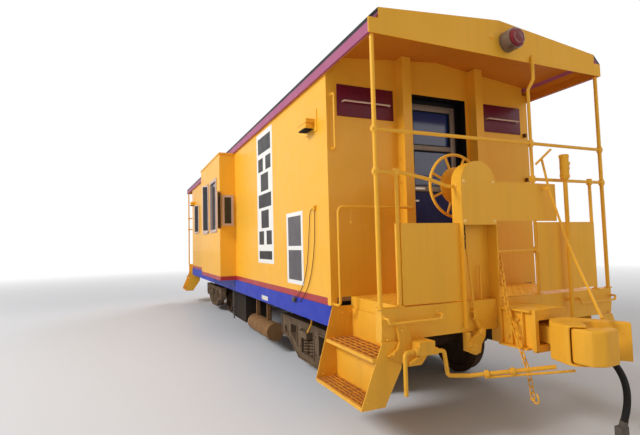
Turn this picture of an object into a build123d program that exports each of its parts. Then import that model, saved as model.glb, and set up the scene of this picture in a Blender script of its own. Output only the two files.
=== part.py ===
from build123d import *
import math
import os

# A bay-window caboose standing on its wheel flanges.
# X runs along the car, Z is up, and the origin is on the floor below the car's middle.
# Right is -Y, the side with the sun on it; the rear half is the front half turned half round.

# Body shell
BODY_LENGTH = 9954
BODY_WIDTH = 2826
WALL = 70
FLOOR_TOP = 1172
FLOOR_THICK = 42
EAVE_BOTTOM = 3454
EAVE_TOP = 3586
EAVE_WIDTH = 2898
ROOF_EDGE_TOP = 3682
ROOF_EDGE_WIDTH = 2704
ROOF_PEAK = 3815
ROOF_THICK = 46
ROOF_OVERHANG = 952
END_PLATE = 10

# Side sill and the bay
SILL_BOTTOM = 882
SILL_TOP = 1090
SILL_PROUD = 8
BAY_CENTRE = -233
BAY_LENGTH = 2156
BAY_DEPTH = 292
BAY_SKIN = 50
BAY_DRIP = 14

# Windows: lengths along the wall, then heights
SASH_BOTTOM = 2030
SASH_TOP = 2980
SASH_WIDTH = 600
SASH_GAP = 320
BAY_SIDE_SASH = 150
BAY_SIDE_BOTTOM = 2120
BAY_SIDE_TOP = 2630
END_SASH_WIDTH = 700
END_SASH_FROM_CORNER = 560
END_SASH_BOTTOM = 2150
END_SASH_TOP = 2850
SASH_FRAME = 42
SASH_PROUD = 18
GLASS = 8
DEFLECTOR_WIDTH = 150
DEFLECTOR_ANGLE = 50
DEFLECTOR_THICK = 14

# End doors
DOOR_OPENING = 810
DOOR_HEIGHT = 2190
DOOR_GAP = 8
DOOR_THICK = 42
DOOR_RECESS = 60
DOOR_PANE_BOTTOM = 1160
DOOR_PANE_SPLIT = 1620
DOOR_PANE_TOP = 2070
DOOR_PANE_WIDTH = 560
HINGE_OFF = 8
HINGE_HEIGHTS = [150, 1000, 1900]
COLUMN_INNER = 450
COLUMN_WIDTH = 110
COLUMN_DEPTH = 130

# End platforms, measured out from the end wall
SILL_FACE = 940
END_SILL_HALF = 1409
END_SILL_BOTTOM = 906
END_SILL_CREASE = 1006
END_SILL_THICK = 90
DECK_HALF = 1190
POST_X = 916
POST_Y = 1404
POST_R = 19
RAIL_R = 16
UPPER_RAIL_Z = 2650
MID_RAIL_Z = 2294
INNER_POST_Y = 1208

# Running gear
WHEEL_RADIUS = 419
FLANGE_HEIGHT = 25.4
FLANGE_BACK = 680.5
WHEEL_WIDTH = 140
AXLE_SPREAD = 1676
TRUCK_CENTRES = 6854
AXLE_R = 78
JOURNAL_R = 62
FRAME_Y = 1000
FRAME_THICK = 110
CENTRE_PLATE_Z = 690
SEAT = 0.3

# Couplers and draft gear, measured out from the end wall
COUPLER_Z = 901
COUPLER_PIVOT_X = 660
COUPLER_REACH = 1902
COUPLER_PIN_R = 38
HEAD_HALF = 150
KNUCKLE_HALF = 135
KNUCKLE_PIN_X = 1725
KNUCKLE_PIN_Y = -165
KNUCKLE_PIN_R = 20
KNUCKLE_HEEL_R = 62
SHANK_HALF = 75
DRAFT_BOX_REACH = 1350
DRAFT_BOX_HALF = 172
DRAFT_BOX_TOP = 1105
DRAFT_BOX_BOTTOM = 780

# Brake stand, on the platform's end
STAND_LOW_Y = -575
STAND_HIGH_Y = -175
STAND_BACK_X = 850
STAND_FRONT_X = 980
STAND_TOP = 2424
BRAKE_WHEEL_X = 680
BRAKE_WHEEL_Z = 2235
BRAKE_WHEEL_R = 315

# Sizes worked out from the ones above
END = BODY_LENGTH / 2
HALF = BODY_WIDTH / 2
INNER = HALF - WALL
AXLE_Z = FLANGE_HEIGHT + WHEEL_RADIUS
BAY_LOW = BAY_CENTRE - BAY_LENGTH / 2
BAY_HIGH = BAY_CENTRE + BAY_LENGTH / 2
BAY_FACE = HALF + BAY_DEPTH
TRUCK_X = TRUCK_CENTRES / 2


def block(x0, x1, y0, y1, z0, z1):
    """A box between two opposite corners."""
    centre = Pos((x0 + x1) / 2, (y0 + y1) / 2, (z0 + z1) / 2)
    return centre * Box(abs(x1 - x0), abs(y1 - y0), abs(z1 - z0))


def rod(start, end, radius):
    """A round bar from one point to another."""
    way = Vector(*end) - Vector(*start)
    stand = (Align.CENTER, Align.CENTER, Align.MIN)
    return Plane(origin=start, z_dir=way) * Cylinder(radius, way.length, align=stand)


def tube(points, radius, bend):
    """A bent round bar through a few points, with one bend radius."""
    path = FilletPolyline(*points, radius=bend)
    return sweep(Plane(origin=path @ 0, z_dir=path % 0) * Circle(radius), path=path)


def bar(points, radius):
    """Straight round bars from point to point, with a ball at each bend."""
    parts = [rod(a, b, radius) for a, b in zip(points, points[1:])]
    parts += [Pos(p) * Sphere(radius) for p in points[1:-1]]
    return joined(parts)


def plate_yz(points, x0, x1):
    """An outline of (y, z) points, given thickness along X."""
    face = Plane.YZ * make_face(Polyline(*points, close=True))
    return Pos(min(x0, x1), 0, 0) * extrude(face, amount=abs(x1 - x0))


def plate_xz(points, y0, y1):
    """An outline of (x, z) points, given thickness along Y."""
    face = Plane.XZ * make_face(Polyline(*points, close=True))
    return Pos(0, max(y0, y1), 0) * extrude(face, amount=abs(y1 - y0))


def plate_xy(points, z0, z1):
    """An outline of (x, y) points, given thickness along Z."""
    return Pos(0, 0, z0) * extrude(make_face(Polyline(*points, close=True)), amount=z1 - z0)


def turned(shape):
    """The same shape at the other end of the car."""
    return Rot(0, 0, 180) * shape


def mirrored(shape):
    """The same shape on the other side of the car."""
    return mirror(shape, about=Plane.XZ)


def loose(shapes):
    """Every separate solid of some shapes."""
    solids = []
    for shape in shapes:
        solids += loose(shape) if isinstance(shape, list) else shape.solids()
    return solids


def both_ends(shapes):
    solids = loose(shapes)
    return solids + [turned(s) for s in solids]


def both_sides(shapes):
    solids = loose(shapes)
    return solids + [mirrored(s) for s in solids]


def joined(shapes):
    """One shape from many that touch or cross."""
    whole = shapes[0]
    for shape in shapes[1:]:
        whole = whole + shape
    return whole


def roof_inside(y):
    """Height of the roof's inner skin at a distance from the middle."""
    return ROOF_PEAK - ROOF_THICK - (ROOF_PEAK - ROOF_EDGE_TOP) * abs(y) / INNER


# Body shell

def roof():
    edge = ROOF_EDGE_WIDTH / 2
    eave = EAVE_WIDTH / 2
    right = [(eave, EAVE_BOTTOM), (eave, EAVE_TOP), (edge, ROOF_EDGE_TOP)]
    right_in = [(INNER, ROOF_EDGE_TOP - ROOF_THICK), (HALF, EAVE_TOP - ROOF_THICK), (HALF, EAVE_BOTTOM)]
    outer = [(-y, z) for y, z in right] + [(0, ROOF_PEAK)] + right[::-1]
    inner = right_in[::-1] + [(0, ROOF_PEAK - ROOF_THICK)] + [(-y, z) for y, z in right_in]
    reach = END + ROOF_OVERHANG
    shell = plate_yz(outer + inner, -reach, reach)
    notch = [(eave, EAVE_BOTTOM), (eave, EAVE_TOP), (edge, EAVE_TOP), (edge, ROOF_EDGE_TOP)]
    plate = [(-y, z) for y, z in notch] + [(0, ROOF_PEAK)] + notch[::-1]
    ends = both_ends([plate_yz(plate, reach - END_PLATE, reach)])
    return [joined([shell] + ends)]


def side_wall(side):
    """One side wall; side is -1 for the right wall and 1 for the left."""
    wall = block(-END, END, side * INNER, side * HALF, SILL_TOP, EAVE_TOP - ROOF_THICK)
    low, high = (BAY_LOW, BAY_HIGH) if side < 0 else (-BAY_HIGH, -BAY_LOW)
    bay = block(low + BAY_SKIN, high - BAY_SKIN, side * (INNER - 5), side * (HALF + 5), FLOOR_TOP,
                EAVE_BOTTOM - BAY_SKIN)
    middle = side * (END - END_SASH_FROM_CORNER - END_SASH_WIDTH / 2)
    window = block(middle - END_SASH_WIDTH / 2, middle + END_SASH_WIDTH / 2, side * (INNER - 5),
                   side * (HALF + 5), END_SASH_BOTTOM, END_SASH_TOP)
    return [wall - bay - window]


def bay_windows():
    """Centres along X of the two windows in the right bay's face."""
    step = (SASH_WIDTH + SASH_GAP) / 2
    return [BAY_CENTRE - step, BAY_CENTRE + step]


def bay_right():
    shell = block(BAY_LOW, BAY_HIGH, -BAY_FACE, -HALF, SILL_TOP, EAVE_BOTTOM)
    room = block(BAY_LOW + BAY_SKIN, BAY_HIGH - BAY_SKIN, -BAY_FACE + BAY_SKIN, -HALF + 1, FLOOR_TOP,
                 EAVE_BOTTOM - BAY_SKIN)
    shell = shell - room
    for x in bay_windows():
        shell = shell - block(x - SASH_WIDTH / 2, x + SASH_WIDTH / 2, -BAY_FACE - 5,
                              -BAY_FACE + BAY_SKIN + 5, SASH_BOTTOM, SASH_TOP)
    low, high = bay_side_sash()
    shell = shell - block(BAY_LOW - 5, BAY_HIGH + 5, low, high, BAY_SIDE_BOTTOM, BAY_SIDE_TOP)
    drip = block(BAY_LOW - BAY_DRIP, BAY_HIGH + BAY_DRIP, -BAY_FACE - BAY_DRIP, -HALF - 40,
                 EAVE_BOTTOM - 30, EAVE_BOTTOM - 8)
    return [shell + (drip - room)]


def bay_side_sash():
    """Low and high Y of the small window in the bay's end face."""
    middle = -HALF - BAY_DEPTH / 2
    return middle - BAY_SIDE_SASH / 2, middle + BAY_SIDE_SASH / 2


def end_wall():
    skirt = [(-INNER, FLOOR_TOP), (-INNER, roof_inside(INNER)), (0, roof_inside(0)),
             (INNER, roof_inside(INNER)), (INNER, FLOOR_TOP)]
    wall = plate_yz(skirt, END - WALL, END)
    half = DOOR_OPENING / 2
    frame = block(END - WALL - DOOR_RECESS - DOOR_THICK, END, -half - 60, half + 60, FLOOR_TOP,
                  FLOOR_TOP + DOOR_HEIGHT + 60)
    opening = block(END - 400, END + 5, -half, half, FLOOR_TOP - 1, FLOOR_TOP + DOOR_HEIGHT)
    columns = []
    for side in (-1, 1):
        low = side * COLUMN_INNER
        high = side * (COLUMN_INNER + COLUMN_WIDTH)
        top = roof_inside(high)
        columns.append(block(END, END + COLUMN_DEPTH, low, high, FLOOR_TOP, top))
    return [joined([wall, frame] + columns) - opening]


# Glass and its frames

def window_sets():
    """Each window on the right side: middle x, middle y, z range, width and the way it faces."""
    sets = []
    for x in bay_windows():
        sets.append((x, -BAY_FACE, SASH_BOTTOM, SASH_TOP, SASH_WIDTH, "side"))
    low, high = bay_side_sash()
    middle = (low + high) / 2
    sets.append((BAY_HIGH, middle, BAY_SIDE_BOTTOM, BAY_SIDE_TOP, BAY_SIDE_SASH, "front"))
    sets.append((BAY_LOW, middle, BAY_SIDE_BOTTOM, BAY_SIDE_TOP, BAY_SIDE_SASH, "back"))
    x = -END + END_SASH_FROM_CORNER + END_SASH_WIDTH / 2
    sets.append((x, -HALF, END_SASH_BOTTOM, END_SASH_TOP, END_SASH_WIDTH, "side"))
    return sets


TURN = {"side": 0, "front": 90, "back": -90}


def framed(width, bottom, top):
    """A window frame on a wall whose outer face is y = 0, facing -Y, with its glass."""
    trim = min(SASH_FRAME, width / 5)
    rim = block(-width / 2 - trim, width / 2 + trim, -SASH_PROUD, 0, bottom - trim, top + trim)
    tongue = block(-width / 2, width / 2, -1, BAY_SKIN, bottom, top)
    hole = block(-width / 2 + 12, width / 2 - 12, -60, WALL + 60, bottom + 12, top - 12)
    glass = block(-width / 2 + 12, width / 2 - 12, 14, 14 + GLASS, bottom + 12, top - 12)
    return rim + tongue - hole, glass


def window_parts(which):
    shapes = []
    for x, y, bottom, top, width, facing in window_sets():
        piece = framed(width, bottom, top)[which]
        shapes.append(Pos(x, y, 0) * Rot(0, 0, TURN[facing]) * piece)
    return both_ends(shapes)


def deflector_places():
    """Wind deflectors on the right side: x and y of the hinge edge, z range and angle."""
    off = DEFLECTOR_THICK / 2 * math.cos(math.radians(DEFLECTOR_ANGLE)) + SEAT
    bay_x = bay_windows()[0] + SASH_WIDTH / 2 + SASH_FRAME + 40
    end_x = -END + END_SASH_FROM_CORNER + END_SASH_WIDTH + SASH_FRAME + 30
    along = 180 + DEFLECTOR_ANGLE
    return [
        (bay_x, -BAY_FACE - off, SASH_BOTTOM, SASH_TOP, along),
        (BAY_HIGH + off, -BAY_FACE + 22, BAY_SIDE_BOTTOM - 90, BAY_SIDE_TOP + 90, DEFLECTOR_ANGLE - 90),
        (end_x, -HALF - off, END_SASH_BOTTOM - 30, END_SASH_TOP + 30, along),
    ]


def deflector(which):
    shapes = []
    for x, y, bottom, top, angle in deflector_places():
        rim = block(0, DEFLECTOR_WIDTH, -DEFLECTOR_THICK / 2, DEFLECTOR_THICK / 2, bottom, top)
        hole = block(20, DEFLECTOR_WIDTH - 20, -20, 20, bottom + 20, top - 20)
        pane = block(20, DEFLECTOR_WIDTH - 20, -3, 3, bottom + 20, top - 20)
        shapes.append(Pos(x, y, 0) * Rot(0, 0, angle) * [rim - hole, pane][which])
    return both_ends(shapes)


# Underframe

def centre_sill():
    reach = END + SILL_FACE - END_SILL_THICK
    top = FLOOR_TOP - FLOOR_THICK
    web_y = 150
    spine = block(-reach, reach, -web_y - 20, web_y + 20, 780, top)
    spine = spine - block(-reach - 5, reach + 5, -web_y, web_y, 700, top - 20)
    parts = [spine]
    bearers = [-4300, -2000, -700, 700, 2000, 4300]
    for x in bearers:
        web = block(x - 10, x + 10, -INNER, INNER, 960, top)
        flange = block(x - 70, x + 70, -INNER, INNER, 950, 966)
        clear = block(x - 80, x + 80, -web_y, web_y, 900, top - 20)
        parts.append(web + flange - clear)
    for x in (-TRUCK_X, TRUCK_X):
        taper = [(-INNER, top), (-INNER, 940), (-300, 800), (-300, 720), (300, 720), (300, 800),
                 (INNER, 940), (INNER, top)]
        parts.append(plate_yz(taper, x - 160, x + 160))
        plate = Pos(x, 0, CENTRE_PLATE_Z) * Cylinder(165, 40, align=(Align.CENTER, Align.CENTER, Align.MIN))
        parts.append(plate)
    for side in (-1, 1):
        x = side * (END + COUPLER_PIVOT_X)
        parts.append(block(x - 110, x + 110, -web_y, web_y, 780, 800))
        parts.append(rod((x, 0, 790), (x, 0, top - 10), COUPLER_PIN_R))
    return [joined(parts)]


def side_sills():
    beams = []
    for side in (-1, 1):
        beams.append(block(-END, END, side * INNER, side * (HALF + SILL_PROUD), SILL_BOTTOM, SILL_TOP))
    return beams


def cabin_floor():
    return [block(-END, END, -INNER, INNER, FLOOR_TOP - FLOOR_THICK, FLOOR_TOP)]


# End platforms

def end_platform():
    face = END + SILL_FACE
    back = face - END_SILL_THICK
    sill = [(back, END_SILL_BOTTOM), (face - 14, END_SILL_BOTTOM), (face, END_SILL_CREASE), (face, FLOOR_TOP),
            (back, FLOOR_TOP)]
    beam = plate_xz(sill, -END_SILL_HALF, END_SILL_HALF)
    deck = block(END, back, -DECK_HALF, DECK_HALF, FLOOR_TOP - FLOOR_THICK, FLOOR_TOP)
    edges = []
    for side in (-1, 1):
        edges.append(block(END, back, side * (DECK_HALF - 24), side * DECK_HALF, FLOOR_TOP - 130, FLOOR_TOP))
    mouth = block(back - 5, face + 5, -DRAFT_BOX_HALF, DRAFT_BOX_HALF, DRAFT_BOX_BOTTOM, DRAFT_BOX_TOP)
    return [joined([beam, deck] + edges) - mouth]


STEP_OUTER = [(-1409, 906), (-1224, 906), (-1235, 689), (-1396, 412), (-1614, 417)]
STEP_INNER = [(-1421, 1091), (-1200, 1091), (-1200, 689), (-1396, 412), (-1614, 417)]
# Each tread: low y, high y and the height of its top
TREADS = [(-1610, -1385, 430), (-1500, -1200, 790)]
STEP_PLATE = 10


def step_well():
    """The right-hand front steps: two side plates, two treads and two risers."""
    outer = END + SILL_FACE
    inner = END + 46
    parts = [plate_yz(STEP_OUTER, outer - STEP_PLATE, outer), plate_yz(STEP_INNER, inner - STEP_PLATE, inner)]
    for low, high, top in TREADS:
        parts.append(block(inner - 2, outer - 8, low, high, top - 30, top))
    parts.append(block(inner - 2, outer - 8, -1391, -1385, 410, 770))
    parts.append(block(inner - 2, outer - END_SILL_THICK, -1206, -1200, 780, 1060))
    return joined(parts)


def steps():
    shapes = []
    right = step_well()
    left = mirrored(right)
    return both_ends([right, left])


def end_railings():
    x = END + POST_X
    parts = []
    for side in (-1, 1):
        parts.append(rod((x, side * POST_Y, FLOOR_TOP), (x, side * POST_Y, EAVE_BOTTOM), POST_R))
    parts.append(rod((x, -POST_Y, UPPER_RAIL_Z), (x, POST_Y, UPPER_RAIL_Z), RAIL_R))
    left_rail = [(x, -POST_Y, MID_RAIL_Z), (x, -1150, MID_RAIL_Z), (x, -885, 2250), (x - 20, -650, 2195),
                 (x - 20, STAND_LOW_Y, 2195)]
    parts.append(bar(left_rail, RAIL_R))
    out = END + ROOF_OVERHANG + RAIL_R + SEAT
    centre_post = [(out, 400, 3516), (out, 400, 3280), (x, 380, 3190), (x, 380, FLOOR_TOP)]
    parts.append(bar(centre_post, RAIL_R))
    parts.append(rod((x, 380, MID_RAIL_Z), (x, POST_Y, MID_RAIL_Z), RAIL_R))
    for side in (-1, 1):
        y = side * INNER_POST_Y
        parts.append(rod((x, y, FLOOR_TOP), (x, y, MID_RAIL_Z), RAIL_R))
    parts.append(rod((x, STAND_HIGH_Y, 1600), (x, 380, 1600), 12))
    return [joined(parts)]


def railing_panels():
    x = END + POST_X + RAIL_R
    thick = 6
    left = block(x, x + thick, -1192, STAND_LOW_Y, 1185, 1865)
    flange = block(x - 90, x, -1192, -1192 + thick, 1185, 1865)
    right = block(x, x + thick, 380, 1208, 1200, 1870)
    sign = block(x, x + thick, STAND_HIGH_Y, 660, 1880, 2250)
    return [left + flange, right, sign]


def brake_stand():
    """A deep upright channel with a rounded top, open to the front below its cover plate."""
    low, high = STAND_LOW_Y, STAND_HIGH_Y
    middle = (low + high) / 2
    radius = (high - low) / 2
    back = END + STAND_BACK_X
    front = END + STAND_FRONT_X
    body = block(back, front, low, high, 950, STAND_TOP - radius)
    body = body + rod((back, middle, STAND_TOP - radius), (front, middle, STAND_TOP - radius), radius)
    skin = 10
    hollow = block(back + skin, front + 5, low + skin, high - skin, 900, STAND_TOP - radius)
    hollow = hollow + rod((back + skin, middle, STAND_TOP - radius), (front + 5, middle, STAND_TOP - radius),
                          radius - skin)
    shell = body - hollow
    cut = block(back - 5, END + SILL_FACE, low - 5, high + 5, 900, FLOOR_TOP)
    cover = block(front - skin, front, low + 2, high - 2, 1847, STAND_TOP - radius)
    cover = cover + rod((front - skin, middle, STAND_TOP - radius), (front, middle, STAND_TOP - radius), radius - 2)
    hub = rod((END + BRAKE_WHEEL_X + 40, middle, BRAKE_WHEEL_Z), (back + 5, middle, BRAKE_WHEEL_Z), 45)
    return [joined([shell - cut, cover, hub])]


def draft_box():
    out = END + DRAFT_BOX_REACH
    start = END + SILL_FACE
    back = start - END_SILL_THICK
    floor = COUPLER_Z - SHANK_HALF - SEAT
    shell = block(back, out, -DRAFT_BOX_HALF, DRAFT_BOX_HALF, DRAFT_BOX_BOTTOM, DRAFT_BOX_TOP)
    return shell - block(back - 5, out + 5, -DRAFT_BOX_HALF + 22, DRAFT_BOX_HALF - 22, floor, 1030)


# Small gear on the ends

def grab_irons():
    shapes = []
    face = END + SILL_FACE
    for side in (-1, 1):
        out = face + 62
        points = [(face, side * 1385, 1100), (out, side * 1385, 1100), (out, side * 1370, 1060),
                  (out, side * 860, 1060), (out, side * 850, 1100), (face, side * 850, 1100)]
        shapes.append(tube(points, 10, 14))
    out = END + COLUMN_DEPTH + 14 + SEAT
    bend = [(END, -1380, 1105), (out, -1380, 1105), (out, -1380, 2070), (out, -500, 2070)]
    shapes.append(tube(bend, 14, 55))
    upright = [(END, -1352, 3240), (END + 60, -1352, 3240), (END + 60, -1352, 2674), (END, -1352, 2674)]
    shapes.append(tube(upright, 12, 25))
    return both_ends(shapes)


def uncoupling_gear():
    """The bent lever hung under the end sill, and its cast bracket."""
    x = END + 1060
    lever = [(x + 30, -1300, 520), (x + 30, -1300, 842), (x, -1200, 842), (x, -900, 815), (x, -870, 610),
             (x + 60, -700, 600), (END + 1500, -160, 690)]
    bracket = block(END + SILL_FACE - 60, x + 20, -1150, -1000, 800, END_SILL_BOTTOM)
    return both_ends([tube(lever, 17, 30) + bracket])


def lift_rods():
    x = END + 1000
    top = (x, 416, 2490)
    handle = rod((x, 337, 2427), (x, 549, 2582), 11)
    clip = block(END + POST_X + RAIL_R + 6, x, 481, 501, 2189, 2209)
    shaft = tube([top, (x, 491, 2199), (END + 1060, 640, 1650), (END + 1770, 30, 1090)], 11, 60)
    return both_ends([handle + shaft + clip])


def backup_valves():
    x = END + 1000
    pipe = rod((x, 730, 905), (x, 730, 2330), 20)
    valve = rod((x, 730, 2300), (x, 730, 2540), 42)
    clip = block(END + SILL_FACE, x, 720, 740, 1090, 1110)
    return both_ends([pipe + valve + clip])


def end_lamps():
    face = END + ROOF_OVERHANG
    housing = rod((face, 90, 3610), (face + 120, 90, 3610), 100)
    return both_ends([housing])


def marker_brackets():
    shapes = []
    for x in (END - 410, -END + 410):
        plate = block(x - 170, x + 170, -HALF - 8, -HALF, 2920, 3160)
        shelf = block(x - 120, x + 120, -HALF - 110, -HALF - 2, 3020, 3060)
        shapes.append(plate + shelf)
    return both_ends(shapes)


LINK_LENGTH = 62
LINK_WIDTH = 40
LINK_WIRE = 9


def chain_link():
    """One flat oval link along X."""
    outer = SlotOverall(LINK_LENGTH, LINK_WIDTH)
    inner = SlotOverall(LINK_LENGTH - 2 * LINK_WIRE, LINK_WIDTH - 2 * LINK_WIRE)
    return Pos(0, 0, -LINK_WIRE / 2) * extrude(outer - inner, amount=LINK_WIRE)


def gate_chains():
    stops = [Vector(END + POST_X, -100, 1576.8), Vector(END + 1110, -240, 1120), Vector(END + 1330, -262, 600)]
    pitch = LINK_LENGTH - 2 * LINK_WIRE - SEAT
    link = chain_link()
    shapes = []
    for top, bottom in zip(stops, stops[1:]):
        way = bottom - top
        count = round(way.length / pitch)
        for index in range(count):
            spot = top + way * ((index + 0.5) / count)
            plane = Plane(origin=spot, x_dir=way, z_dir=way.cross(Vector(0, 1, 0)))
            shapes.append(plane * Rot(90 * (len(shapes) % 2), 0, 0) * link)
    return both_ends(shapes)


# Underfloor equipment

def air_reservoirs():
    tank = rod((1027, -1120, 340), (2227, -1120, 340), 140)
    floor = FLOOR_TOP - FLOOR_THICK
    hangers = [block(x - 20, x + 20, -1150, -1090, 470, floor) for x in (1250, 1880)]
    return both_ends([joined([tank] + hangers)])


def equipment_boxes():
    return both_ends([block(-220, 880, -1250, -760, 300, 950)])


def hose_route():
    """Points of the air hose at the front end."""
    x = END + 1680
    return [(x - 99, 380, 700), (x - 55, 380, 656), (x - 20, 380, 605), (x + 4, 379, 548), (x + 17, 377, 487),
            (x + 20, 374, 425), (x + 16, 371, 363), (x + 6, 367, 302), (x - 8, 362, 240)]


def pipe_and_cock():
    start = Vector(*hose_route()[0])
    way = (Vector(*hose_route()[1]) - start).normalized()
    back = start - way * 110
    bolster_face = TRUCK_X + 160
    pipe = tube([(bolster_face, 260, 830), (END + 600, 260, 830), (END + 1250, 380, 800), tuple(back)], 24, 150)
    cock = rod(tuple(back), tuple(start), 36)
    return both_ends([pipe + cock])


HOSE_R = 27


def corner_radii(points):
    """For each corner, the largest arc that its two runs allow."""
    radii = []
    for a, b, c in zip(points, points[1:], points[2:]):
        into = Vector(*b) - Vector(*a)
        away = Vector(*c) - Vector(*b)
        turn = math.radians(into.get_angle(away))
        radii.append(0.45 * min(into.length, away.length) / math.tan(turn / 2))
    return radii


def air_hose():
    points = hose_route()
    radii = corner_radii(points)
    print("hose radii", [round(r) for r in radii])
    path = FilletPolyline(*points, radius=radii)
    return sweep(Plane(origin=path @ 0, z_dir=path % 0) * Circle(HOSE_R), path=path)


def glad_hand():
    points = hose_route()
    end = Vector(*points[-1])
    way = (end - Vector(*points[-2])).normalized()
    stem = rod(tuple(end), tuple(end + way * 70), 30)
    spot = end + way * 90
    head = Pos(spot) * Box(60, 90, 80)
    return stem + head


# Moving pieces

def door():
    """The door and its hinge barrels, which turn on pins beside the jamb."""
    half = DOOR_OPENING / 2 - DOOR_GAP
    x1 = END - WALL - DOOR_RECESS
    pin_x = x1 - DOOR_THICK - HINGE_OFF
    pin_y = DOOR_OPENING / 2
    slab = block(x1 - DOOR_THICK, x1, -half, half, FLOOR_TOP + DOOR_GAP, FLOOR_TOP + DOOR_HEIGHT - DOOR_GAP)
    for low, high in ((DOOR_PANE_BOTTOM, DOOR_PANE_SPLIT - 25), (DOOR_PANE_SPLIT + 25, DOOR_PANE_TOP)):
        slab = slab - block(x1 - 100, x1 + 50, -DOOR_PANE_WIDTH / 2, DOOR_PANE_WIDTH / 2, FLOOR_TOP + low,
                            FLOOR_TOP + high)
    for z in HINGE_HEIGHTS:
        barrel = rod((pin_x, pin_y, FLOOR_TOP + z), (pin_x, pin_y, FLOOR_TOP + z + 100), HINGE_OFF - SEAT)
        leaf = block(pin_x, x1 - DOOR_THICK, half - 40, pin_y, FLOOR_TOP + z + 2, FLOOR_TOP + z + 98)
        slab = slab + barrel + leaf
    return slab


def door_glass():
    x1 = END - WALL - DOOR_RECESS - DOOR_THICK / 2
    panes = []
    for low, high in ((DOOR_PANE_BOTTOM, DOOR_PANE_SPLIT - 25), (DOOR_PANE_SPLIT + 25, DOOR_PANE_TOP)):
        panes.append(block(x1 - 4, x1 + 4, -DOOR_PANE_WIDTH / 2, DOOR_PANE_WIDTH / 2, FLOOR_TOP + low,
                           FLOOR_TOP + high))
    return panes


def brake_wheel():
    x = END + BRAKE_WHEEL_X
    middle = (STAND_LOW_Y + STAND_HIGH_Y) / 2
    centre = Pos(x, middle, BRAKE_WHEEL_Z) * Rot(0, 90, 0)
    rim = Torus(BRAKE_WHEEL_R - 14, 14)
    hub = Cylinder(48, 50)
    spokes = [Rot(0, 0, 45 * i + 22.5) * rod((30, 0, 0), (BRAKE_WHEEL_R - 14, 0, 0), 12) for i in range(8)]
    shaft = Cylinder(20, 40 - SEAT, align=(Align.CENTER, Align.CENTER, Align.MIN))
    return centre * joined([rim, hub, shaft] + spokes)


def coupler():
    """The shank on its pivot pin, and the head with its guard arm and knuckle lugs."""
    z = COUPLER_Z
    x = END
    shank = block(x + COUPLER_PIVOT_X, x + 1480, -65, 65, z - SHANK_HALF, z + SHANK_HALF)
    pivot = Pos(x + COUPLER_PIVOT_X, 0, z)
    eye = pivot * Cylinder(75, 2 * SHANK_HALF)
    bore = pivot * Cylinder(COUPLER_PIN_R + SEAT, 2 * SHANK_HALF + 10)
    head = plate_xy([(x + 1390, -75), (x + 1480, -190), (x + 1660, -245), (x + 1725, -235), (x + 1790, -165),
                     (x + 1700, -60), (x + 1640, -30), (x + 1640, 90), (x + 1850, 250), (x + 1800, 300),
                     (x + 1560, 190), (x + 1390, 90)], z - HEAD_HALF, z + HEAD_HALF)
    px, py = x + KNUCKLE_PIN_X, KNUCKLE_PIN_Y
    pocket = Pos(px, py, z) * Cylinder(KNUCKLE_HEEL_R + 6, 2 * (KNUCKLE_HALF + SEAT))
    mouth = block(px - KNUCKLE_HEEL_R / 2, px + 300, py - 300, py + 260, z - KNUCKLE_HALF - SEAT,
                  z + KNUCKLE_HALF + SEAT)
    pin = Pos(px, py, z) * Cylinder(KNUCKLE_PIN_R, 2 * HEAD_HALF + 12)
    return (shank + eye - bore) + (head - pocket - mouth) + pin


def knuckle():
    """The closed knuckle: a round heel on its pin and the nose across the coupler's mouth."""
    z = COUPLER_Z
    x = END
    px, py = x + KNUCKLE_PIN_X, KNUCKLE_PIN_Y
    low, high = z - KNUCKLE_HALF, z + KNUCKLE_HALF
    nose = plate_xy([(px, py - KNUCKLE_HEEL_R), (x + 1850, -215), (x + COUPLER_REACH, -120), (x + 1890, 40),
                     (x + 1800, 60), (x + 1790, -60), (px, py + KNUCKLE_HEEL_R)], low, high)
    heel = rod((px, py, low), (px, py, high), KNUCKLE_HEEL_R)
    bore = rod((px, py, low - 5), (px, py, high + 5), KNUCKLE_PIN_R + SEAT)
    return nose + heel - bore


# Trucks

def wheel():
    """Half section of a wheel about the Y axle, turned once round."""
    r = WHEEL_RADIUS
    back = FLANGE_BACK
    profile = [(back, AXLE_R), (back, 130), (back + 40, 150), (back + 40, r - 70), (back, r - 60),
               (back, r + FLANGE_HEIGHT - 8), (back + 8, r + FLANGE_HEIGHT), (back + 22, r + FLANGE_HEIGHT),
               (back + 37, r + 2), (back + WHEEL_WIDTH, r - 4), (back + WHEEL_WIDTH, r - 55),
               (back + 70, r - 70), (back + 70, 150), (back + WHEEL_WIDTH + 20, 130),
               (back + WHEEL_WIDTH + 20, AXLE_R)]
    face = make_face(Polyline(*[(y, z) for y, z in profile], close=True))
    face = Plane.YZ * face
    return revolve(face, Axis.Y)


def wheels():
    one = wheel()
    return [one, mirrored(one)]


def axle():
    body = rod((0, -FLANGE_BACK - WHEEL_WIDTH - 60, 0), (0, FLANGE_BACK + WHEEL_WIDTH + 60, 0), AXLE_R - 0.05)
    journals = rod((0, -FRAME_Y - 40, 0), (0, FRAME_Y + 40, 0), JOURNAL_R)
    return body + journals


def side_frame():
    """The right-hand cast side frame, about the truck's middle."""
    half = AXLE_SPREAD / 2
    outline = [(-half - 200, 660), (half + 200, 660), (half + 210, 400), (half + 110, 340), (half - 110, 340),
               (330, 130), (-330, 130), (-half + 110, 340), (-half - 110, 340), (-half - 210, 400)]
    low, high = -FRAME_Y - FRAME_THICK / 2, -FRAME_Y + FRAME_THICK / 2
    frame = plate_xz(outline, low, high)
    frame = frame - block(-210, 210, low - 5, high + 5, 230, 560)
    for side in (-1, 1):
        window = [(side * 400, 560), (side * 620, 560), (side * 620, 430), (side * 400, 300)]
        frame = frame - plate_xz(window, low - 5, high + 5)
        frame = frame - rod((side * half, low - 5, AXLE_Z), (side * half, high + 5, AXLE_Z), JOURNAL_R + SEAT)
    return frame


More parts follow.
